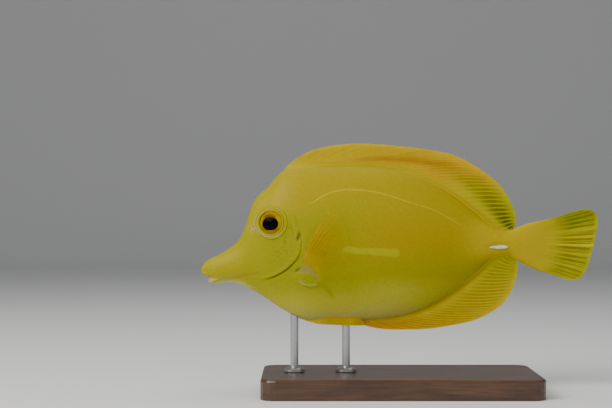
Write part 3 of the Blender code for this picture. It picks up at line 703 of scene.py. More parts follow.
def softenMouth(mesh):
    # the lips run into the snout without a hard line
    shape = bmesh.new()
    shape.from_mesh(mesh)
    near = [w for w in shape.verts if w.co.x < skin["softBefore"]]
    for _ in range(skin["softRounds"]):
        bmesh.ops.smooth_vert(shape, verts=near, factor=0.5,
                              use_axis_x=True, use_axis_y=True, use_axis_z=True)
    bmesh.ops.remove_doubles(shape, verts=shape.verts, dist=skin["mouthMerge"])
    shape.to_mesh(mesh)
    shape.free()


# the tints of the skin, from the belly up, and of its marks with their strength; the tints from the belly up
# are painted darker on the lower flank as shade and paler at the belly as bounce light from the floor
skinColours = {
    "heightTintAndShade": [(0.0, (0.62, 0.57, 0.14)), (0.13, (0.53, 0.48, 0.03)), (0.3, (0.355, 0.32, 0.0)),
               (0.5, (0.42, 0.305, 0.0)), (0.72, (0.44, 0.33, 0.0)), (1.0, (0.46, 0.35, 0.0))],
    "snout": ((0.45, 0.385, 0.0), 0.9),
    "marks": {
        "olive": ((0.33, 0.33, 0.0), 0.8), "stalk": ((0.56, 0.415, 0.0), 0.9),
        "eyeHalo": ((0.40, 0.375, 0.0), 0.6), "throat": ((0.68, 0.62, 0.16), 0.8),
        "lip": ((0.60, 0.44, 0.19), 0.85), "lateral": ((0.64, 0.53, 0.0), 0.8),
        "peach": ((0.62, 0.42, 0.14), 0.5), "jaw": ((0.40, 0.23, 0.01), 0.5),
        # cream: a pale cream band on the breast-fin root, and a painted highlight on the rings round the eye
        # dusk: painted shadow of the breast fin on the flank
        "dusk": ((0.20, 0.19, 0.0), 0.4), "cream": ((0.58, 0.54, 0.20), 0.75),
        # fold: painted shade in the folds and grooves of the skin, the rings round the eye and the breast-fin
        # root
        "lilac": ((0.29, 0.225, 0.11), 0.75), "fold": ((0.17, 0.17, 0.001), 0.6),
        # crease: painted shade in the gill slit, the creases and the pore
        "crease": ((0.10, 0.07, 0.005), 0.85),
    },
    "bar": (0.455, 0.455, 0.0),
}


def barMask(tree, x, z, wander):
    # the bar on the side: its rounded outline by distance from a slanting line, slightly uneven
    fromX, fromZ = skin["barFrom"][0] - place["length"] / 2, skin["barFrom"][1] + place["axisHeight"]
    slope = (skin["barTo"][1] - skin["barFrom"][1]) / (skin["barTo"][0] - skin["barFrom"][0])
    run = skin["barTo"][0] - skin["barFrom"][0]
    behind = sums(tree, "MULTIPLY_ADD", x, 1 / place["metre"], -fromX)
    share = sums(tree, "DIVIDE", behind, run, clamp=True)
    middle = sums(tree, "MULTIPLY_ADD", share, run * slope, fromZ)
    above = sums(tree, "SUBTRACT", sums(tree, "MULTIPLY", z, 1 / place["metre"]), middle)
    above = sums(tree, "MULTIPLY_ADD", wander, 1.8, sums(tree, "SUBTRACT", above, 0.9))
    beyond = sums(tree, "SUBTRACT", behind, sums(tree, "MULTIPLY", share, run))
    half = sums(tree, "MULTIPLY_ADD", share, skin["barHalf"][1] - skin["barHalf"][0], skin["barHalf"][0])
    gap = sums(tree, "SQRT", sums(tree, "MULTIPLY_ADD", above, above, sums(tree, "MULTIPLY", beyond, beyond)))
    ratio = sums(tree, "DIVIDE", gap, half)
    return mapRange(tree, ratio, 1.25, 0.75)


def makeSkinMaterial():
    material, tree, shader = newMaterial("tangSkin", 0.44, **{
        "Specular IOR Level": 0.12, "Coat Weight": 0.015, "Coat Roughness": 0.22})
    coordinates = addNode(tree, "ShaderNodeTexCoord").outputs["Object"]
    split = addNode(tree, "ShaderNodeSeparateXYZ", {"Vector": coordinates})
    wander = sums(tree, "MULTIPLY_ADD", noise(tree, coordinates, 35.0, 3.0), 0.008, -0.004)
    height = sums(tree, "ADD", split.outputs["Z"], wander)
    # base colour by height: the skin's yellow with painted shade on the lower flank and painted bounce light
    # from the floor on the belly
    colour = colourRamp(tree, mapRange(tree, height, 0.028, 0.092), skinColours["heightTintAndShade"])
    frontBack = addNode(tree, "ShaderNodeMapRange", {"Value": split.outputs["X"], "From Min": -0.070,
                                                      "From Max": -0.034, "To Min": 1.0, "To Max": 0.0})
    aboveJaw = addNode(tree, "ShaderNodeMapRange", {"Value": height, "From Min": 0.0425, "From Max": 0.050})
    snoutShare = sums(tree, "MULTIPLY", frontBack.outputs["Result"], aboveJaw.outputs["Result"])
    tint, strength = skinColours["snout"]
    colour = mixColour(tree, sums(tree, "MULTIPLY", snoutShare, strength), colour, tint)
    uneven = addNode(tree, "ShaderNodeTexNoise", {"Vector": coordinates, "Scale": 210.0, "Detail": 2.0})
    bar = barMask(tree, split.outputs["X"], split.outputs["Z"], uneven.outputs["Fac"])
    for word, (tint, strength) in skinColours["marks"].items():
        colour = mixColour(tree, sums(tree, "MULTIPLY", readValue(tree, word), strength), colour, tint)
        if word == "olive":
            colour = mixColour(tree, sums(tree, "MULTIPLY", bar, 0.75), colour, skinColours["bar"])
    scales = addNode(tree, "ShaderNodeGroup", node_tree=scaleRelief)
    scales.inputs["Size"].default_value = 1500.0
    colour = mixColour(tree, 0.22, colour, scales.outputs["Tone"], "MULTIPLY")
    # fine slanting wrinkles over the cheek, their furrows painted darker as shade
    slanted = addNode(tree, "ShaderNodeMapping", {"Vector": coordinates, "Rotation": (0, 0.7, 0),
                                                  "Scale": (1.0, 1.0, 2.6)})
    wrinkles = noise(tree, slanted.outputs["Vector"], 620.0, 2.0)
    furrow = sums(tree, "MULTIPLY", mapRange(tree, wrinkles, 0.50, 0.38), readValue(tree, "cheek"))
    colour = mixColour(tree, sums(tree, "MULTIPLY", furrow, 0.36), colour, (0.19, 0.20, 0.001))
    tree.links.new(colour, shader.inputs["Base Color"])
    relief = sums(tree, "SUBTRACT", scales.outputs["Height"], furrow)
    addBump(tree, shader, relief, 0.25, 0.00006)
    return material


def makeSkin():
    mesh = skinSurface()
    shape = bmesh.new()
    shape.from_mesh(mesh)
    bmesh.ops.mirror(shape, geom=shape.verts[:] + shape.edges[:] + shape.faces[:],
                     matrix=Matrix.Identity(4), merge_dist=skin["merge"], axis="Y")
    bmesh.ops.remove_doubles(shape, verts=shape.verts, dist=skin["merge"])
    openEdges = [edge for edge in shape.edges if edge.is_boundary]
    bmesh.ops.edgeloop_fill(shape, edges=openEdges)
    bmesh.ops.recalc_face_normals(shape, faces=shape.faces)
    shape.to_mesh(mesh)
    shape.free()
    holder = bpy.data.objects.new("holder", mesh)
    bpy.context.scene.collection.objects.link(holder)
    boolean(holder, [beadRound(skin["upperLip"]), beadRound(skin["lowerLip"])], "UNION")
    cutters = [eyeHollow(side, skin["eyeRoom"]) for side in (left, right)]
    cutters += [nostrilPit(*pit, side) for pit in skin["nostrils"] for side in (left, right)]
    boolean(holder, cutters + [beadRound(skin["mouthLine"], 12)], "DIFFERENCE")
    mesh = holder.data
    softenMouth(mesh)
    spots = np.array([corner.co[:] for corner in mesh.vertices])
    addValues(mesh, skinValues(spots[:, 0], spots[:, 2]))
    bpy.data.objects.remove(holder, do_unlink=True)
    finishPiece("skin", mesh, tangSkin, ("head", "torso", "tail_stalk"))
    print("skin made,", len(mesh.polygons), "faces")


tangSkin = makeSkinMaterial()
makeSkin()


# small raised pieces of the skin, laid over it in the same material

def skinPiece(name, mesh, points, values, side, thick):
    # a fine sheet over the side of the fish, merged, turned outwards and closed by its thickness
    setPoints(mesh, points)
    addValues(mesh, values)
    shape = bmesh.new()
    shape.from_mesh(mesh)
    bmesh.ops.remove_doubles(shape, verts=shape.verts, dist=0.001)
    shape.normal_update()
    middle = sum((face.normal.y * face.calc_area() for face in shape.faces))
    if middle * side < 0:
        bmesh.ops.reverse_faces(shape, faces=shape.faces)
    shape.to_mesh(mesh)
    shape.free()
    piece = bpy.data.objects.new("holder", mesh)
    bpy.context.scene.collection.objects.link(piece)
    wall = piece.modifiers.new("thick", "SOLIDIFY")
    wall.thickness = thick
    wall.offset = -1
    addModifierMesh(piece)
    mesh = piece.data
    bpy.data.objects.remove(piece, do_unlink=True)
    return finishPiece(name, mesh, tangSkin)


def overSkin(x, z, side, height):
    out = sideNormal(x, z, side)
    return np.stack([x, side * halfWidth(x, z), z], -1) + out * height[:, None] * liftWay


orbit = {
    "segments": 128, "rings": 60, "inner": 4.3, "outer": 7.4, "thick": 0.45,
    # height over the side of the head at growing distance from the middle of the eye
    "profile": [(4.3, -1.1), (4.42, -0.5), (4.6, 0.0), (4.85, 0.25), (5.4, 0.18), (6.1, 0.19), (6.6, 0.16),
                (6.85, 0.02), (7.1, -0.3), (7.4, -0.7)],
    # creases round the eye: distance from its middle, depth, and the turn in degrees where it is strongest
    "creases": [(5.35, 0.16, 45), (6.05, 0.13, 200), (6.75, 0.16, 20)], "creaseWidth": 0.2,
    "creaseSway": 0.09, "wrinkle": 0.05, "wrinkleTurns": 9.0, "wrinkleFrom": 4.6, "wrinkleTo": 6.9,
    "creamRings": [(5.75, 0.3), (6.3, 0.2)],
}


def makeOrbit(side, word):
    mesh, u, v = gridMesh(orbit["segments"], orbit["rings"])
    turn = 2 * np.pi * u
    gap = orbit["inner"] + (orbit["outer"] - orbit["inner"]) * v
    x = skin["eye"][0] + gap * np.cos(turn)
    z = skin["eye"][1] + gap * np.sin(turn)
    height = np.interp(gap, *asHeight(smoothLine(orbit["profile"])))
    marks = []
    for at, depth, heading in orbit["creases"]:
        off = gap - at - orbit["creaseSway"] * np.sin(2 * turn + at)
        facing = 0.5 + 0.5 * np.cos(turn - math.radians(heading))
        marks.append(np.exp(-(off / orbit["creaseWidth"]) ** 2) * facing)
    height = height + eyeRise(gap)
    height = height - sum(depth * mark for (at, depth, heading), mark in zip(orbit["creases"], marks))
    wrinkles = orbit["wrinkle"] * np.cos(gap * orbit["wrinkleTurns"] + 2 * np.sin(turn))
    within = softStep((gap - orbit["wrinkleFrom"]) / 0.3) * softStep((orbit["wrinkleTo"] - gap) / 0.3)
    height = height + wrinkles * within
    values = skinValues(x, z)
    # painted highlight on the crests of the rings below and in front of the eye
    lower = softStep(-np.sin(turn + 0.25) * 1.5 - 0.2)
    ahead = softStep(-np.cos(turn - 0.1) * 3 - 1.9)
    lowRing, frontRing = (np.exp(-((gap - at) / width) ** 2) for at, width in orbit["creamRings"])
    values["cream"] = np.maximum(lowRing * lower * 0.75, frontRing * ahead)
    # painted shade in the creases round the eye
    values["fold"] = np.maximum.reduce(marks)
    skinPiece("orbit" + word, mesh, overSkin(x, z, side, height), values, side, orbit["thick"])


finRoot = {
    "segments": 120, "rings": 44, "reach": 1.22, "thick": 0.4,
    # height over the flank from the middle of the pad out to its sunk edge
    "profile": [(0, 0.5), (0.3, 0.52), (0.6, 0.55), (0.78, 0.56), (0.9, 0.46), (1.0, 0.25), (1.1, -0.1),
                (1.22, -0.6)],
    "crease": [(41.4, -13.2), (43.2, -13.5), (44.8, -14.4)], "creaseDepth": 0.12,
    "foldHeight": 0.05, "foldTurns": 6.5, "creamAt": 0.8, "rimAt": 1.06,
}


def makeFinRoot(side, word):
    mesh, u, v = gridMesh(finRoot["segments"], finRoot["rings"])
    turn = 2 * np.pi * u
    slant = math.radians(skin["finBaseTurn"])
    far = finRoot["reach"] * v
    along = skin["finBaseReach"][0] * far * np.cos(turn)
    across = skin["finBaseReach"][1] * far * np.sin(turn) * np.abs(np.sin(turn)) ** 0.5
    x = skin["finBase"][0] + along * math.cos(slant) + across * math.sin(slant)
    z = skin["finBase"][1] - along * math.sin(slant) + across * math.cos(slant)
    height = np.interp(far, *asHeight(smoothLine(finRoot["profile"])))
    folds = np.cos(across * finRoot["foldTurns"] + 0.5 * np.sin(along * 0.9)) * softStep((0.85 - far) / 0.3)
    crease = lineMark(finRoot["crease"], x, z, 0.35, 0.35)
    height = height * (1 - 0.5 * softStep(-along / 5.5))
    height = height + finRoot["foldHeight"] * folds - finRoot["creaseDepth"] * crease
    below = softStep(-np.sin(turn) * 1.5)
    values = skinValues(x, z)
    pale = np.exp(-((far - finRoot["creamAt"]) / 0.17) ** 2) * below
    values["cream"] = pale * softStep(1.2 - np.abs(turn - 5.0) / 1.5) * 0.45
    # painted shadow line under the lower rim of the pad, and painted shade in the hollows of its folds and in
    # its crease
    rim = 0.8 * np.exp(-((far - finRoot["rimAt"]) / 0.08) ** 2) * below
    hollows = 0.25 * (0.5 - 0.5 * folds) * (far < 0.85)
    values["fold"] = np.maximum.reduce([rim, hollows, 0.7 * crease])
    values["crease"] = 0 * far
    skinPiece("finRoot" + word, mesh, overSkin(x, z, side, height), values, side, finRoot["thick"])


lateral = {
    "steps": 420, "sides": 6, "half": (0.36, 0.26), "height": (0.17, 0.12), "scales": 84,
    "bead": 0.14, "frontFade": 0.14, "rearFade": 0.2, "sink": 0.08, "thick": 0.3,
}


def makeLateralLine(side, word):
    mesh, u, v = gridMesh(lateral["steps"], lateral["sides"])
    line = smoothLine(skin["lateralLine"])
    middle = pointOn(line, u)
    ahead = pointOn(line, np.minimum(u + 0.004, 1)) - pointOn(line, np.maximum(u - 0.004, 0))
    half = lateral["half"][0] + (lateral["half"][1] - lateral["half"][0]) * u
    beads = 1 + lateral["bead"] * np.cos(u * lateral["scales"] * 2 * np.pi)
    ends = softStep(u / lateral["frontFade"]) * softStep((1 - u) / lateral["rearFade"])
    spot = middle + unitSquare(ahead) * (half * beads * np.cos(np.pi * v))[:, None]
    x, z = spot.T
    high = lateral["height"][0] + (lateral["height"][1] - lateral["height"][0]) * u
    height = high * beads * ends * np.sin(np.pi * v) - lateral["sink"]
    values = skinValues(x, z)
    values["lateral"] = ends * (1 - 0.3 * u) + 0 * v
    skinPiece("lateralLine" + word, mesh, overSkin(x, z, side, height), values, side, lateral["thick"])


def unitSquare(way):
    # unit directions square to a set of side-view directions
    return np.stack([-way[:, 1], way[:, 0]], -1) / np.maximum(np.hypot(*way.T), 1e-6)[:, None]


# eyes: black pupil, thin gold edge, orange and brown iris, smooth and slightly glossy

eye = {
    "pupilAt": (0.05, -0.62), "pupilReach": (3.2, 2.6),
    "smudgeAt": (-0.6, 2.3), "smudgeReach": (2.5, 1.3), "glintAt": (0.0, -3.25), "glintReach": (1.2, 0.22),
    # from the middle of the pupil out to the golden rim
    "iris": [(0.0, (0.002, 0.002, 0.003)), (0.405, (0.003, 0.003, 0.003)), (0.422, (0.13, 0.045, 0.001)),
             (0.45, (0.26, 0.09, 0.0)), (0.52, (0.38, 0.17, 0.0)), (0.60, (0.42, 0.24, 0.0)),
             (0.80, (0.40, 0.24, 0.0))],
    "front": (0.38, 0.32, 0.0), "rear": (0.44, 0.35, 0.0), "glint": (0.62, 0.44, 0.06),
    "smudge": (0.07, 0.045, 0.002),
}


def makeEyeMaterial():
    material, tree, shader = newMaterial("eyeball", 0.12, **{"Specular IOR Level": 0.025})
    across, up = readValue(tree, "eyeAcross"), readValue(tree, "eyeUp")

    def times(first, second):
        return sums(tree, "MULTIPLY", first, second)

    def ovalGap(at, reach):
        first = times(sums(tree, "SUBTRACT", across, at[0]), 1 / reach[0])
        second = times(sums(tree, "SUBTRACT", up, at[1]), 1 / reach[1])
        return sums(tree, "SQRT", sums(tree, "MULTIPLY_ADD", first, first, times(second, second)))

    coordinates = addNode(tree, "ShaderNodeTexCoord").outputs["Object"]
    speckle = noise(tree, coordinates, 1400.0, 3.0)
    gap = sums(tree, "MULTIPLY_ADD", speckle, 0.06, ovalGap(eye["pupilAt"], eye["pupilReach"]))
    inIris = mapRange(tree, gap, 1.04, 1.1)
    before = mapRange(tree, across, -3.2, -3.9, blend="SMOOTHSTEP")
    behind = mapRange(tree, across, 1.6, 3.6, blend="SMOOTHSTEP")
    level = mapRange(tree, sums(tree, "ABSOLUTE", up), 3.4, 1.4)
    glint = mapRange(tree, ovalGap(eye["glintAt"], eye["glintReach"]), 1.2, 0.4)
    smudge = mapRange(tree, ovalGap(eye["smudgeAt"], eye["smudgeReach"]), 1.3, 0.4)
    colour = colourRamp(tree, times(gap, 0.4), eye["iris"])
    colour = mixColour(tree, times(before, 0.75), colour, eye["front"])
    colour = mixColour(tree, times(times(times(behind, level), inIris), 0.9), colour, eye["rear"])
    colour = mixColour(tree, times(glint, inIris), colour, eye["glint"])
    colour = mixColour(tree, times(times(smudge, inIris), 0.8), colour, eye["smudge"])
    tree.links.new(colour, shader.inputs["Base Color"])
    return material


def makeEye(side, word):
    shape = bmesh.new()
    bmesh.ops.create_uvsphere(shape, u_segments=96, v_segments=64, radius=1)
    radius, depth = skin["eyeRadius"], skin["eyeDepth"]
    local = np.array([corner.co[:] for corner in shape.verts]) * radius
    matrix = sideFrame(*skin["eye"], side, skin["eyeSink"]) @ Matrix.Diagonal((radius, radius, depth, 1))
    bmesh.ops.transform(shape, matrix=matrix, verts=shape.verts)
    bmesh.ops.recalc_face_normals(shape, faces=shape.faces)
    mesh = bpy.data.meshes.new("eye")
    shape.to_mesh(mesh)
    shape.free()
    addValues(mesh, {"eyeAcross": local[:, 0], "eyeUp": -side * local[:, 1]})
    finishPiece("eye" + word, mesh, eyeBall, ("eye_" + word.lower(),))


# folded blades of the tail stalk

def makeBladeMaterial():
    material, tree, shader = newMaterial("paleBlade", 0.3, **{"Coat Weight": 0.3, "Subsurface Weight": 0.1})
    shader.inputs["Subsurface Scale"].default_value = 0.001
    coordinates = addNode(tree, "ShaderNodeTexCoord").outputs["Object"]
    grain = addNode(tree, "ShaderNodeTexNoise", {"Vector": coordinates, "Scale": 900.0, "Detail": 3.0})
    colour = colourRamp(tree, grain.outputs["Fac"], [(0.3, (0.62, 0.56, 0.60)), (0.7, (0.92, 0.88, 0.90))])
    tree.links.new(colour, shader.inputs["Base Color"])
    return material


def makeBlade(side, word):
    shape = bladeShape(side, 0.0, 2)
    mesh = bpy.data.meshes.new("blade")
    shape.to_mesh(mesh)
    shape.free()
    finishPiece("tailBlade" + word, mesh, paleBlade, ("tail_spine_" + word.lower(),))


eyeBall = makeEyeMaterial()
paleBlade = makeBladeMaterial()
for sideNow, wordNow in ((left, "Left"), (right, "Right")):
    makeOrbit(sideNow, wordNow)
    makeFinRoot(sideNow, wordNow)
    makeLateralLine(sideNow, wordNow)
    makeEye(sideNow, wordNow)
    makeBlade(sideNow, wordNow)
print("eyes and tail blades made")


# fins: a closed sheet whose rays stand up on both faces and fork towards the edge

dorsal = {
    "rays": 36, "perRay": 8, "rows": 64, "foot": 0.5, "tip": 0.17, "fork": 0.6,
    "ridge": [(0, 0.03), (0.3, 0.06), (0.5, 0.14), (0.7, 0.24), (1, 0.24)],
    "scallop": 0.02, "sink": 1.1, "bow": 0.04, "from": 33.0, "to": 124.2, "fillet": 1.5, "filletReach": 1.7,
    "edge": [(33.6, 30.4), (36.4, 32.8), (41.5, 36.2), (49, 38.7), (60, 40.1), (76, 39.5), (92, 37.6),
             (101, 35.6), (108, 32.3), (114, 28.3), (119.9, 23.2), (124.0, 16.8), (125.6, 12.9), (126.1, 9.4),
             (125.9, 7.8), (125.3, 6.9)],
    "sweep": [(0, 0), (0.1, 0.27), (0.27, 0.55), (0.465, 0.72), (0.68, 0.85), (0.9, 0.968), (1, 1)],
    "shade": ([(54, 32.9), (62, 33.5), (70, 33.9), (78, 33.9), (86, 33.3), (93, 32.2), (101, 30.9),
               (109, 29.2)], 1.4),
    # seam: painted shadow in the crease where the fin meets the back
    "seam": ([(44, 30.9), (52, 31.3), (66, 31.5), (76, 30.7), (84, 28.9), (92, 26.3)], 0.75),
}
anal = {
    "rays": 30, "perRay": 8, "rows": 56, "foot": 0.5, "tip": 0.17, "fork": 0.6,
    "ridge": [(0, 0.10), (0.3, 0.13), (1, 0.17)],
    "scallop": 0.01, "sink": 1.1, "bow": 0.04, "from": 61.6, "to": 124.8, "fillet": 1.3, "filletReach": 1.5,
    "edge": [(62.6, -31.3), (68, -33.2), (79, -34.2), (91.6, -33.8), (102, -32.2), (110, -30.2),
             (115.6, -27.5), (121.0, -23.6), (124.2, -18.6), (125.9, -14.2), (126.7, -10.2),
             (126.6, -8.0), (126.0, -6.9)],
    "sweep": [(0, 0), (0.066, 0.25), (0.15, 0.45), (0.28, 0.645), (0.515, 0.805), (0.76, 0.93),
              (0.94, 0.982), (1, 1)],
    "shade": ([(64, -31.8), (72, -32.2), (80, -31.6), (88, -29.0)], 1.3),
    # seam: painted shadow in the crease where the fin meets the belly
    "seam": ([(62, -31.0), (72, -30.6), (80, -29.3), (88, -26.9), (96, -23.0), (104, -17.8),
              (112, -11.6)], 0.7),
}
tail = {
    "rays": 20, "perRay": 10, "rows": 72, "tip": 0.17, "fork": 0.62, "scallop": 0.006,
    "ridge": [(0, 0.14), (0.5, 0.18), (1, 0.14)], "raysFrom": 0.36,
    "start": 123.6, "startHeight": 5.3, "swell": 0.8, "swellAt": 0.26, "turn": 2.4,
    "blend": (124.0, 130.0), "thinFrom": 129.0, "thinOver": 17.0, "foot": 0.32,
    "folds": [(0.30, 0.45), (0.37, 0.3), (0.47, 0.75), (0.56, 0.3), (0.71, 0.25)], "foldWidth": 0.018,
    "edge": [(152.6, 13.9), (156.4, 13.5), (158.4, 11.6), (158.7, 8.6), (158.0, 4.0), (157.2, 0.5),
             (156.3, -2.8), (155.4, -6.2), (154.2, -9.6), (152.6, -12.4), (150.2, -14.1),
             (147.0, -14.2), (144.0, -13.4)],
}
breastFin = {
    "rays": 18, "perRay": 8, "rows": 52, "foot": 0.2, "tip": 0.1, "fork": 0.5,
    "ridge": [(0, 0.09), (0.3, 0.06), (1, 0.04)],
    "scallop": 0.012, "sink": 0.9, "standOff": 2.6, "bow": 1.6,
    "root": [(40.8, -7.4), (44.0, -9.6), (46.3, -12.8), (47.0, -16.2)],
    "edge": [(51.0, 12.8), (54.8, 10.6), (57.4, 5.6), (58.8, -0.6), (59.2, -6.2), (57.6, -12.0),
             (54.4, -16.0)],
}
bellyFin = {
    "rays": 6, "perRay": 8, "rows": 48, "foot": 0.3, "tip": 0.16, "fork": 0.6,
    "ridge": [(0, 0.16), (1, 0.16)], "scallop": 0.0, "tipHeight": 0.5,
    "spread": (0.5, 2.4, 1.3),    # distance from the keel in front, in the middle and behind
    "keel": [(41.6, -30.6), (44.6, -31.35), (47.5, -31.9), (51.0, -32.05), (58.0, -32.35), (66.4, -32.4)],
}


finRay = {
    "forkSpread": 0.17, "forkOver": 0.3, "width": 0.17, "narrowing": 0.05, "lowering": 0.5, "riseOver": 0.2,
    "from": 0.06, "sharp": 50,   # a crease on a fin is sharp from this angle
}


def finSheet(values, middleAt, halfAt=None):
    mesh, u, v = gridMesh(values["rays"] * values["perRay"], values["rows"])
    phase = (u * values["rays"]) % 1.0
    fork = finRay["forkSpread"] * softStep((v - values["fork"]) / finRay["forkOver"])
    width = finRay["width"] - finRay["narrowing"] * v
    ray = np.maximum.reduce([np.exp(-((phase - 0.5 + side * fork) / width) ** 2) for side in (-1, 1)])
    spot, out = middleAt(u, v * (1 + values["scallop"] * (ray - 0.5) * v ** 8))
    foot, _ = middleAt(u, 0 * v)
    if halfAt:
        half = halfAt(u, v, spot)
    else:
        half = values["foot"] + (values["tip"] - values["foot"]) * softStep(v / 1.15) ** 0.5
    if "fillet" in values:
        # the fleshy foot that runs into the back or the belly
        grown = np.linalg.norm(spot - foot, axis=1) / values["filletReach"]
        half = half + values["fillet"] * np.exp(-grown ** 2) * softStep(u / 0.04) * softStep((1 - u) / 0.08)
    raysFrom = values.get("raysFrom", finRay["from"])
    high = np.interp(u, *zip(*values["ridge"]))
    half = half + high * ray * (1 - finRay["lowering"] * v) * softStep((v - raysFrom) / finRay["riseOver"])
    marks = {"ray": ray, "share": u, "along": v}
    if "shade" in values:
        x, z = spot[:, 0], spot[:, 2]
        for word in ("shade", "seam"):
            points, reach = values[word]
            marks[word] = lineMark(points, x, z, reach, 0.3)
    if "folds" in values:
        # how far the tail's folds stand out; the colour paints a highlight on their crests
        marks["fold"] = foldAt(u, v) / 0.7
    addValues(mesh, marks)
    addMap(mesh, u, v)
    return closeSheet(mesh, spot - out * half[:, None], spot + out * half[:, None])


def uprightMiddle(line, values, sideUp):
    stretch = line[(line[:, 0] >= values["from"]) & (line[:, 0] <= values["to"])]
    edgeLine = smoothLine(values["edge"])
    sweep = asHeight(smoothLine(values["sweep"]))

    def middleAt(share, along):
        ahead = pointOn(stretch, np.minimum(share + 0.01, 1)) - pointOn(stretch, np.maximum(share - 0.01, 0))
        start = pointOn(stretch, share) - unitSquare(ahead) * sideUp * values["sink"]
        way = pointOn(edgeLine, np.interp(share, *sweep)) - start
        bow = values["bow"] * sideUp * 4 * along * (1 - along)
        flat = start + way * along[:, None] + np.stack([-way[:, 1], way[:, 0]], -1) * bow[:, None]
        zero = np.zeros(len(share))
        return np.stack([flat[:, 0], zero, flat[:, 1]], -1), np.stack([zero, zero + 1, zero], -1)
    return middleAt


def foldAt(share, along):
    # how far the folds of the tail fin stand out to the left
    high = sum(size * np.exp(-((share - at) / tail["foldWidth"]) ** 2) for at, size in tail["folds"])
    return high * softStep((along - 0.3) / 0.6)


def tailMiddle(share, along):
    level = 1 - 2 * share
    start = np.stack([np.full(len(share), tail["start"]), tail["startHeight"] * level], -1)
    flat = start + (pointOn(smoothLine(tail["edge"]), share) - start) * along[:, None]
    swellAt, swellReach = tail["swellAt"] + 0.22 * share, 0.2 + 0.1 * share
    flat[:, 1] += level * tail["swell"] * np.exp(-((along - swellAt) / swellReach) ** 2)
    zero = np.zeros(len(share))
    out = -foldAt(share, along) - tail["turn"] * along ** 2 * (share - 0.35)
    return np.stack([flat[:, 0], out, flat[:, 1]], -1), np.stack([zero, zero + 1, zero], -1)


def tailHalf(share, along, spot):
    # as thick as the stalk where it leaves it, then thinner towards the rear edge
    x = np.minimum(spot[:, 0], body["end"])
    level = np.clip(1 - 2 * share, -1, 1)
    stalk = np.interp(x, *widthLine) * (1 - level ** 2) ** body["roundness"]
    first, last = tail["blend"]
    stalk = stalk * (0.84 + 0.2 * softStep((x - first) / (last - first)))
    thin = softStep((spot[:, 0] - tail["thinFrom"]) / tail["thinOver"])
    foot = tail["foot"] + (tail["tip"] - tail["foot"]) * along
    return np.maximum(stalk, foot) * (1 - thin) + foot * thin


def breastMiddle(side):
    root, edgeLine = smoothLine(breastFin["root"]), smoothLine(breastFin["edge"])

    def middleAt(share, along):
        start = pointOn(root, share)
        way = pointOn(edgeLine, share) - start
        start = start - way / np.hypot(*way.T)[:, None] * breastFin["sink"]
        way = pointOn(edgeLine, share) - start
        bow = breastFin["bow"] * (1 - share) * 4 * along * (1 - along)
        flat = start + way * along[:, None] + unitSquare(way) * bow[:, None]
        x, z = flat.T
        pad = padShare(x, z)
        off = -0.5 + 1.2 * softStep(along / 0.16) + skin["finBaseLift"] * pad
        off = off + breastFin["standOff"] * along ** 1.3
        out = sideNormal(x, z, side)
        return np.stack([x, side * halfWidth(x, z), z], -1) + out * off[:, None], out * side
    return middleAt


def bellyMiddle(side):
    keel = smoothLine(bellyFin["keel"])

    def middleAt(share, along):
        x, low = pointOn(keel, along).T
        front, middle, rear = bellyFin["spread"]
        y = front + (middle - front) * softStep(along / 0.4)
        y = y + (rear - middle) * softStep((along - 0.74) / 0.26)
        high = bellyUnder(x, y) + 0.5
        high = high + (low + bellyFin["tipHeight"] - high) * softStep((along - 0.86) / 0.14)
        zero = np.zeros(len(share))
        return np.stack([x, side * y, low + (high - low) * share], -1), np.stack([zero, zero + 1, zero], -1)
    return middleAt


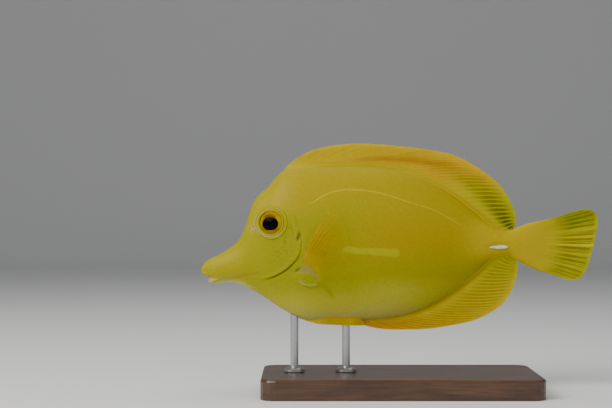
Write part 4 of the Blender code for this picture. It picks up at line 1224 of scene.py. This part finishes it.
def makeFinMaterial(name, look):
    # look: colours from front to rear of the rays, of the gaps between them and of the outer edge
    material, tree, shader = newMaterial(name, 0.46, **{"Specular IOR Level": look.get("specular", 0.15)})
    ray, share, along = (readValue(tree, word) for word in ("ray", "share", "along"))
    coordinates = addNode(tree, "ShaderNodeTexCoord").outputs["Object"]
    mapped = addNode(tree, "ShaderNodeUVMap", uv_map="finMap").outputs["UV"]
    streak = noise(tree, stretched(tree, mapped, (look.get("streaks", 26.0), 1.6, 1.0)), 1.0, 3.0)
    mottle = noise(tree, coordinates, 420.0, 3.0)

    def between(low, high):
        return mapRange(tree, along, low, high, blend="SMOOTHSTEP")

    colour = colourRamp(tree, share, look["rays"])
    gapShare = sums(tree, "SUBTRACT", 1.0, ray)
    gapShare = sums(tree, "MULTIPLY", gapShare, between(*look["gapsFrom"]))
    gapShare = sums(tree, "MULTIPLY", gapShare, between(*look["gapsTo"]))
    colour = mixColour(tree, gapShare, colour, colourRamp(tree, share, look["gaps"]))
    # painted shade bands, the painted shadow along the fin's foot and the painted highlight on the tail's
    # folds
    for word in ("shade", "seam", "fold"):
        if word in look:
            tint, strength = look[word]
            colour = mixColour(tree, sums(tree, "MULTIPLY", readValue(tree, word), strength), colour, tint)
    edge = sums(tree, "MULTIPLY", between(look["edgeFrom"], 1.0), look["edgeShare"])
    colour = mixColour(tree, edge, colour, colourRamp(tree, share, look["edge"]))
    bright = sums(tree, "MULTIPLY_ADD", streak, look["streakDepth"], 1 - look["streakDepth"] * 0.55)
    bright = sums(tree, "MULTIPLY", bright, sums(tree, "MULTIPLY_ADD", mottle, 0.24, 0.88))
    colour = mixColour(tree, 1.0, colour, addNode(tree, "ShaderNodeCombineColor", {
        "Red": bright, "Green": bright, "Blue": bright}).outputs["Color"], "MULTIPLY")
    colour = mixColour(tree, between(look["rootTo"], look["rootFrom"]), colour, look["root"])
    tree.links.new(colour, shader.inputs["Base Color"])
    segments = addNode(tree, "ShaderNodeTexWave", {"Vector": coordinates, "Scale": 500.0, "Distortion": 2.0})
    bump = addNode(tree, "ShaderNodeBump", {"Height": sums(tree, "MULTIPLY", segments.outputs["Fac"], ray),
                                            "Strength": 0.2, "Distance": 0.00004})
    tree.links.new(bump.outputs["Normal"], shader.inputs["Normal"])
    if "clear" in look:
        thin = sums(tree, "MULTIPLY_ADD", ray, look["clear"][1] - look["clear"][0], look["clear"][0])
        thin = sums(tree, "MULTIPLY", thin, sums(tree, "MULTIPLY_ADD", share, -look["fade"], 1.0))
        thin = sums(tree, "MULTIPLY", thin, sums(tree, "MULTIPLY_ADD", between(0.3, 1.0), -0.75, 1.0))
        foot = sums(tree, "MULTIPLY", between(look["rootTo"], look["rootFrom"]), 0.8)
        tree.links.new(sums(tree, "MAXIMUM", thin, foot), shader.inputs["Alpha"])
    return material


backTint = (0.46, 0.35, 0.0)
finLooks = {
    "dorsal": {
        "rays": [(0.0, (0.52, 0.39, 0.0)), (0.3, (0.56, 0.35, 0.0)), (0.55, (0.56, 0.335, 0.0)),
                 (0.72, (0.44, 0.39, 0.0)), (1.0, (0.36, 0.355, 0.0))],
        # gaps: the membrane's colour between the rays, darkening to near black towards the rear as painted
        # shade in the folds between them
        "gaps": [(0.0, (0.49, 0.355, 0.0)), (0.35, (0.47, 0.31, 0.0)), (0.55, (0.38, 0.27, 0.0)),
                 (0.72, (0.22, 0.20, 0.0)), (0.9, (0.09, 0.09, 0.0)), (1.0, (0.07, 0.075, 0.0))],
        "gapsFrom": (0.22, 0.55), "gapsTo": (0.98, 0.86), "streakDepth": 0.35,
        "shade": ((0.40, 0.19, 0.0), 0.85), "seam": ((0.34, 0.235, 0.0), 0.6),
        "edge": [(0.0, (0.58, 0.44, 0.0)), (0.35, (0.62, 0.385, 0.0)), (0.58, (0.62, 0.36, 0.0)),
                 (0.72, (0.42, 0.40, 0.0)), (1.0, (0.30, 0.34, 0.0))],
        "edgeFrom": 0.7, "edgeShare": 0.85, "root": backTint, "rootFrom": 0.06, "rootTo": 0.34,
    },
    "anal": {
        "rays": [(0.0, (0.60, 0.36, 0.0)), (0.3, (0.58, 0.42, 0.0)), (1.0, (0.44, 0.39, 0.0))],
        "gaps": [(0.0, (0.46, 0.25, 0.0)), (0.3, (0.40, 0.28, 0.0)), (1.0, (0.26, 0.24, 0.0))],
        "gapsFrom": (0.1, 0.4), "gapsTo": (1.0, 0.9), "streakDepth": 0.3,
        "shade": ((0.52, 0.22, 0.0), 0.6), "seam": ((0.30, 0.22, 0.0), 0.35),
        "edge": [(0.0, (0.60, 0.38, 0.0)), (0.5, (0.62, 0.44, 0.0)), (1.0, (0.46, 0.42, 0.0))],
        "edgeFrom": 0.82, "edgeShare": 0.6, "root": (0.44, 0.33, 0.0), "rootFrom": 0.05, "rootTo": 0.2,
    },
    "tail": {
        "rays": [(0.0, (0.30, 0.31, 0.0)), (0.18, (0.33, 0.33, 0.0)), (0.4, (0.46, 0.42, 0.0)),
                 (0.7, (0.42, 0.39, 0.0)), (1.0, (0.50, 0.44, 0.0))],
        "gaps": [(0.0, (0.20, 0.22, 0.0)), (0.18, (0.15, 0.165, 0.0)), (0.45, (0.20, 0.19, 0.0)),
                 (0.7, (0.20, 0.19, 0.0)), (1.0, (0.36, 0.34, 0.0))],
        "gapsFrom": (0.42, 0.72), "gapsTo": (1.0, 0.95), "streaks": 9.0, "streakDepth": 0.9,
        # painted highlight along the crests of the tail's folds
        "fold": ((0.66, 0.55, 0.0), 1.0),
        "edge": [(0.0, (0.30, 0.36, 0.004)), (1.0, (0.40, 0.42, 0.004))],
        "edgeFrom": 0.95, "edgeShare": 0.6, "root": (0.47, 0.355, 0.0), "rootFrom": 0.30, "rootTo": 0.74,
    },
    "breast": {
        "rays": [(0.0, (0.66, 0.40, 0.0)), (0.4, (0.62, 0.43, 0.0)), (1.0, (0.54, 0.45, 0.0))],
        "gaps": [(0.0, (0.50, 0.28, 0.0)), (0.4, (0.43, 0.29, 0.0)), (1.0, (0.37, 0.31, 0.0))],
        "gapsFrom": (0.1, 0.4), "gapsTo": (1.0, 0.95), "streakDepth": 0.2,
        "edge": [(0.0, (0.50, 0.36, 0.0)), (1.0, (0.44, 0.36, 0.0))],
        "edgeFrom": 0.9, "edgeShare": 0.3, "root": (0.40, 0.27, 0.02), "rootFrom": 0.0, "rootTo": 0.1,
        "clear": (0.36, 0.52), "fade": 0.88, "specular": 0.04,
    },
    "belly": {
        "rays": [(0.0, (0.50, 0.40, 0.0)), (0.5, (0.62, 0.36, 0.0)), (1.0, (0.60, 0.38, 0.01))],
        "gaps": [(0.0, (0.36, 0.28, 0.0)), (1.0, (0.44, 0.26, 0.0))],
        "gapsFrom": (0.1, 0.4), "gapsTo": (1.0, 0.9), "streakDepth": 0.3,
        "edge": [(0.0, (0.52, 0.36, 0.0)), (1.0, (0.52, 0.36, 0.0))],
        "edgeFrom": 0.9, "edgeShare": 0.4, "root": (0.50, 0.42, 0.01), "rootFrom": 0.05, "rootTo": 0.2,
    },
}


def makeFins():
    materials = {word: makeFinMaterial(word + "Fin", look) for word, look in finLooks.items()}

    def addFin(name, look, node, sheet):
        finishPiece(name, sheet, materials[look], (node,), finRay["sharp"])

    addFin("dorsalFin", "dorsal", "dorsal_fin", finSheet(dorsal, uprightMiddle(backLine, dorsal, 1)))
    addFin("analFin", "anal", "anal_fin", finSheet(anal, uprightMiddle(bellyLine, anal, -1)))
    addFin("tailFin", "tail", "caudal_fin", finSheet(tail, tailMiddle, tailHalf))
    for side, word in ((left, "Left"), (right, "Right")):
        sheet = finSheet(breastFin, breastMiddle(side))
        addFin("breastFin" + word, "breast", "pectoral_fin_" + word.lower(), sheet)
        sheet = finSheet(bellyFin, bellyMiddle(side))
        addFin("bellyFin" + word, "belly", "pelvic_fin_" + word.lower(), sheet)
    print("fins made")


makeFins()


# display stand: the solids stay and get grained wood and brushed steel

def makeWood():
    material, tree, shader = newMaterial("darkWood", 0.4, **{"Coat Weight": 0.35, "Coat Roughness": 0.25})
    coordinates = addNode(tree, "ShaderNodeTexCoord").outputs["Object"]
    grain = noise(tree, stretched(tree, coordinates, (14.0, 120.0, 120.0)), 1.0, 8.0, 0.6)
    pores = noise(tree, stretched(tree, coordinates, (90.0, 2200.0, 2200.0)), 1.0, 4.0)
    colour = colourRamp(tree, grain, [
        (0.25, (0.035, 0.014, 0.006)), (0.48, (0.095, 0.040, 0.016)), (0.56, (0.060, 0.024, 0.010)),
        (0.8, (0.15, 0.066, 0.028))])
    colour = mixColour(tree, mapRange(tree, pores, 0.36, 0.5, 0.45, 0.0), colour, (0.015, 0.006, 0.003))
    tree.links.new(colour, shader.inputs["Base Color"])
    tree.links.new(mapRange(tree, pores, 0.0, 1.0, 0.5, 0.3), shader.inputs["Roughness"])
    addBump(tree, shader, pores, 0.15, 0.0001)
    return material


def makeSteel():
    material, tree, shader = newMaterial("brushedSteel", 0.3, Metallic=1.0)
    coordinates = addNode(tree, "ShaderNodeTexCoord").outputs["Object"]
    scratches = noise(tree, stretched(tree, coordinates, (9000.0, 9000.0, 300.0)), 1.0, 3.0)
    colour = colourRamp(tree, scratches, [(0.3, (0.46, 0.46, 0.47)), (0.7, (0.60, 0.60, 0.61))])
    tree.links.new(colour, shader.inputs["Base Color"])
    tree.links.new(mapRange(tree, scratches, 0.0, 1.0, 0.22, 0.42), shader.inputs["Roughness"])
    addBump(tree, shader, scratches, 0.1, 0.00005)
    return material


def dressStand():
    finishes = {"stand_base": makeWood(), "stand_rod_front": makeSteel(), "stand_rod_rear": makeSteel()}
    for name, material in finishes.items():
        for holder in bpy.data.objects[name].material_slots:
            holder.material = material
    print("stand dressed")


dressStand()
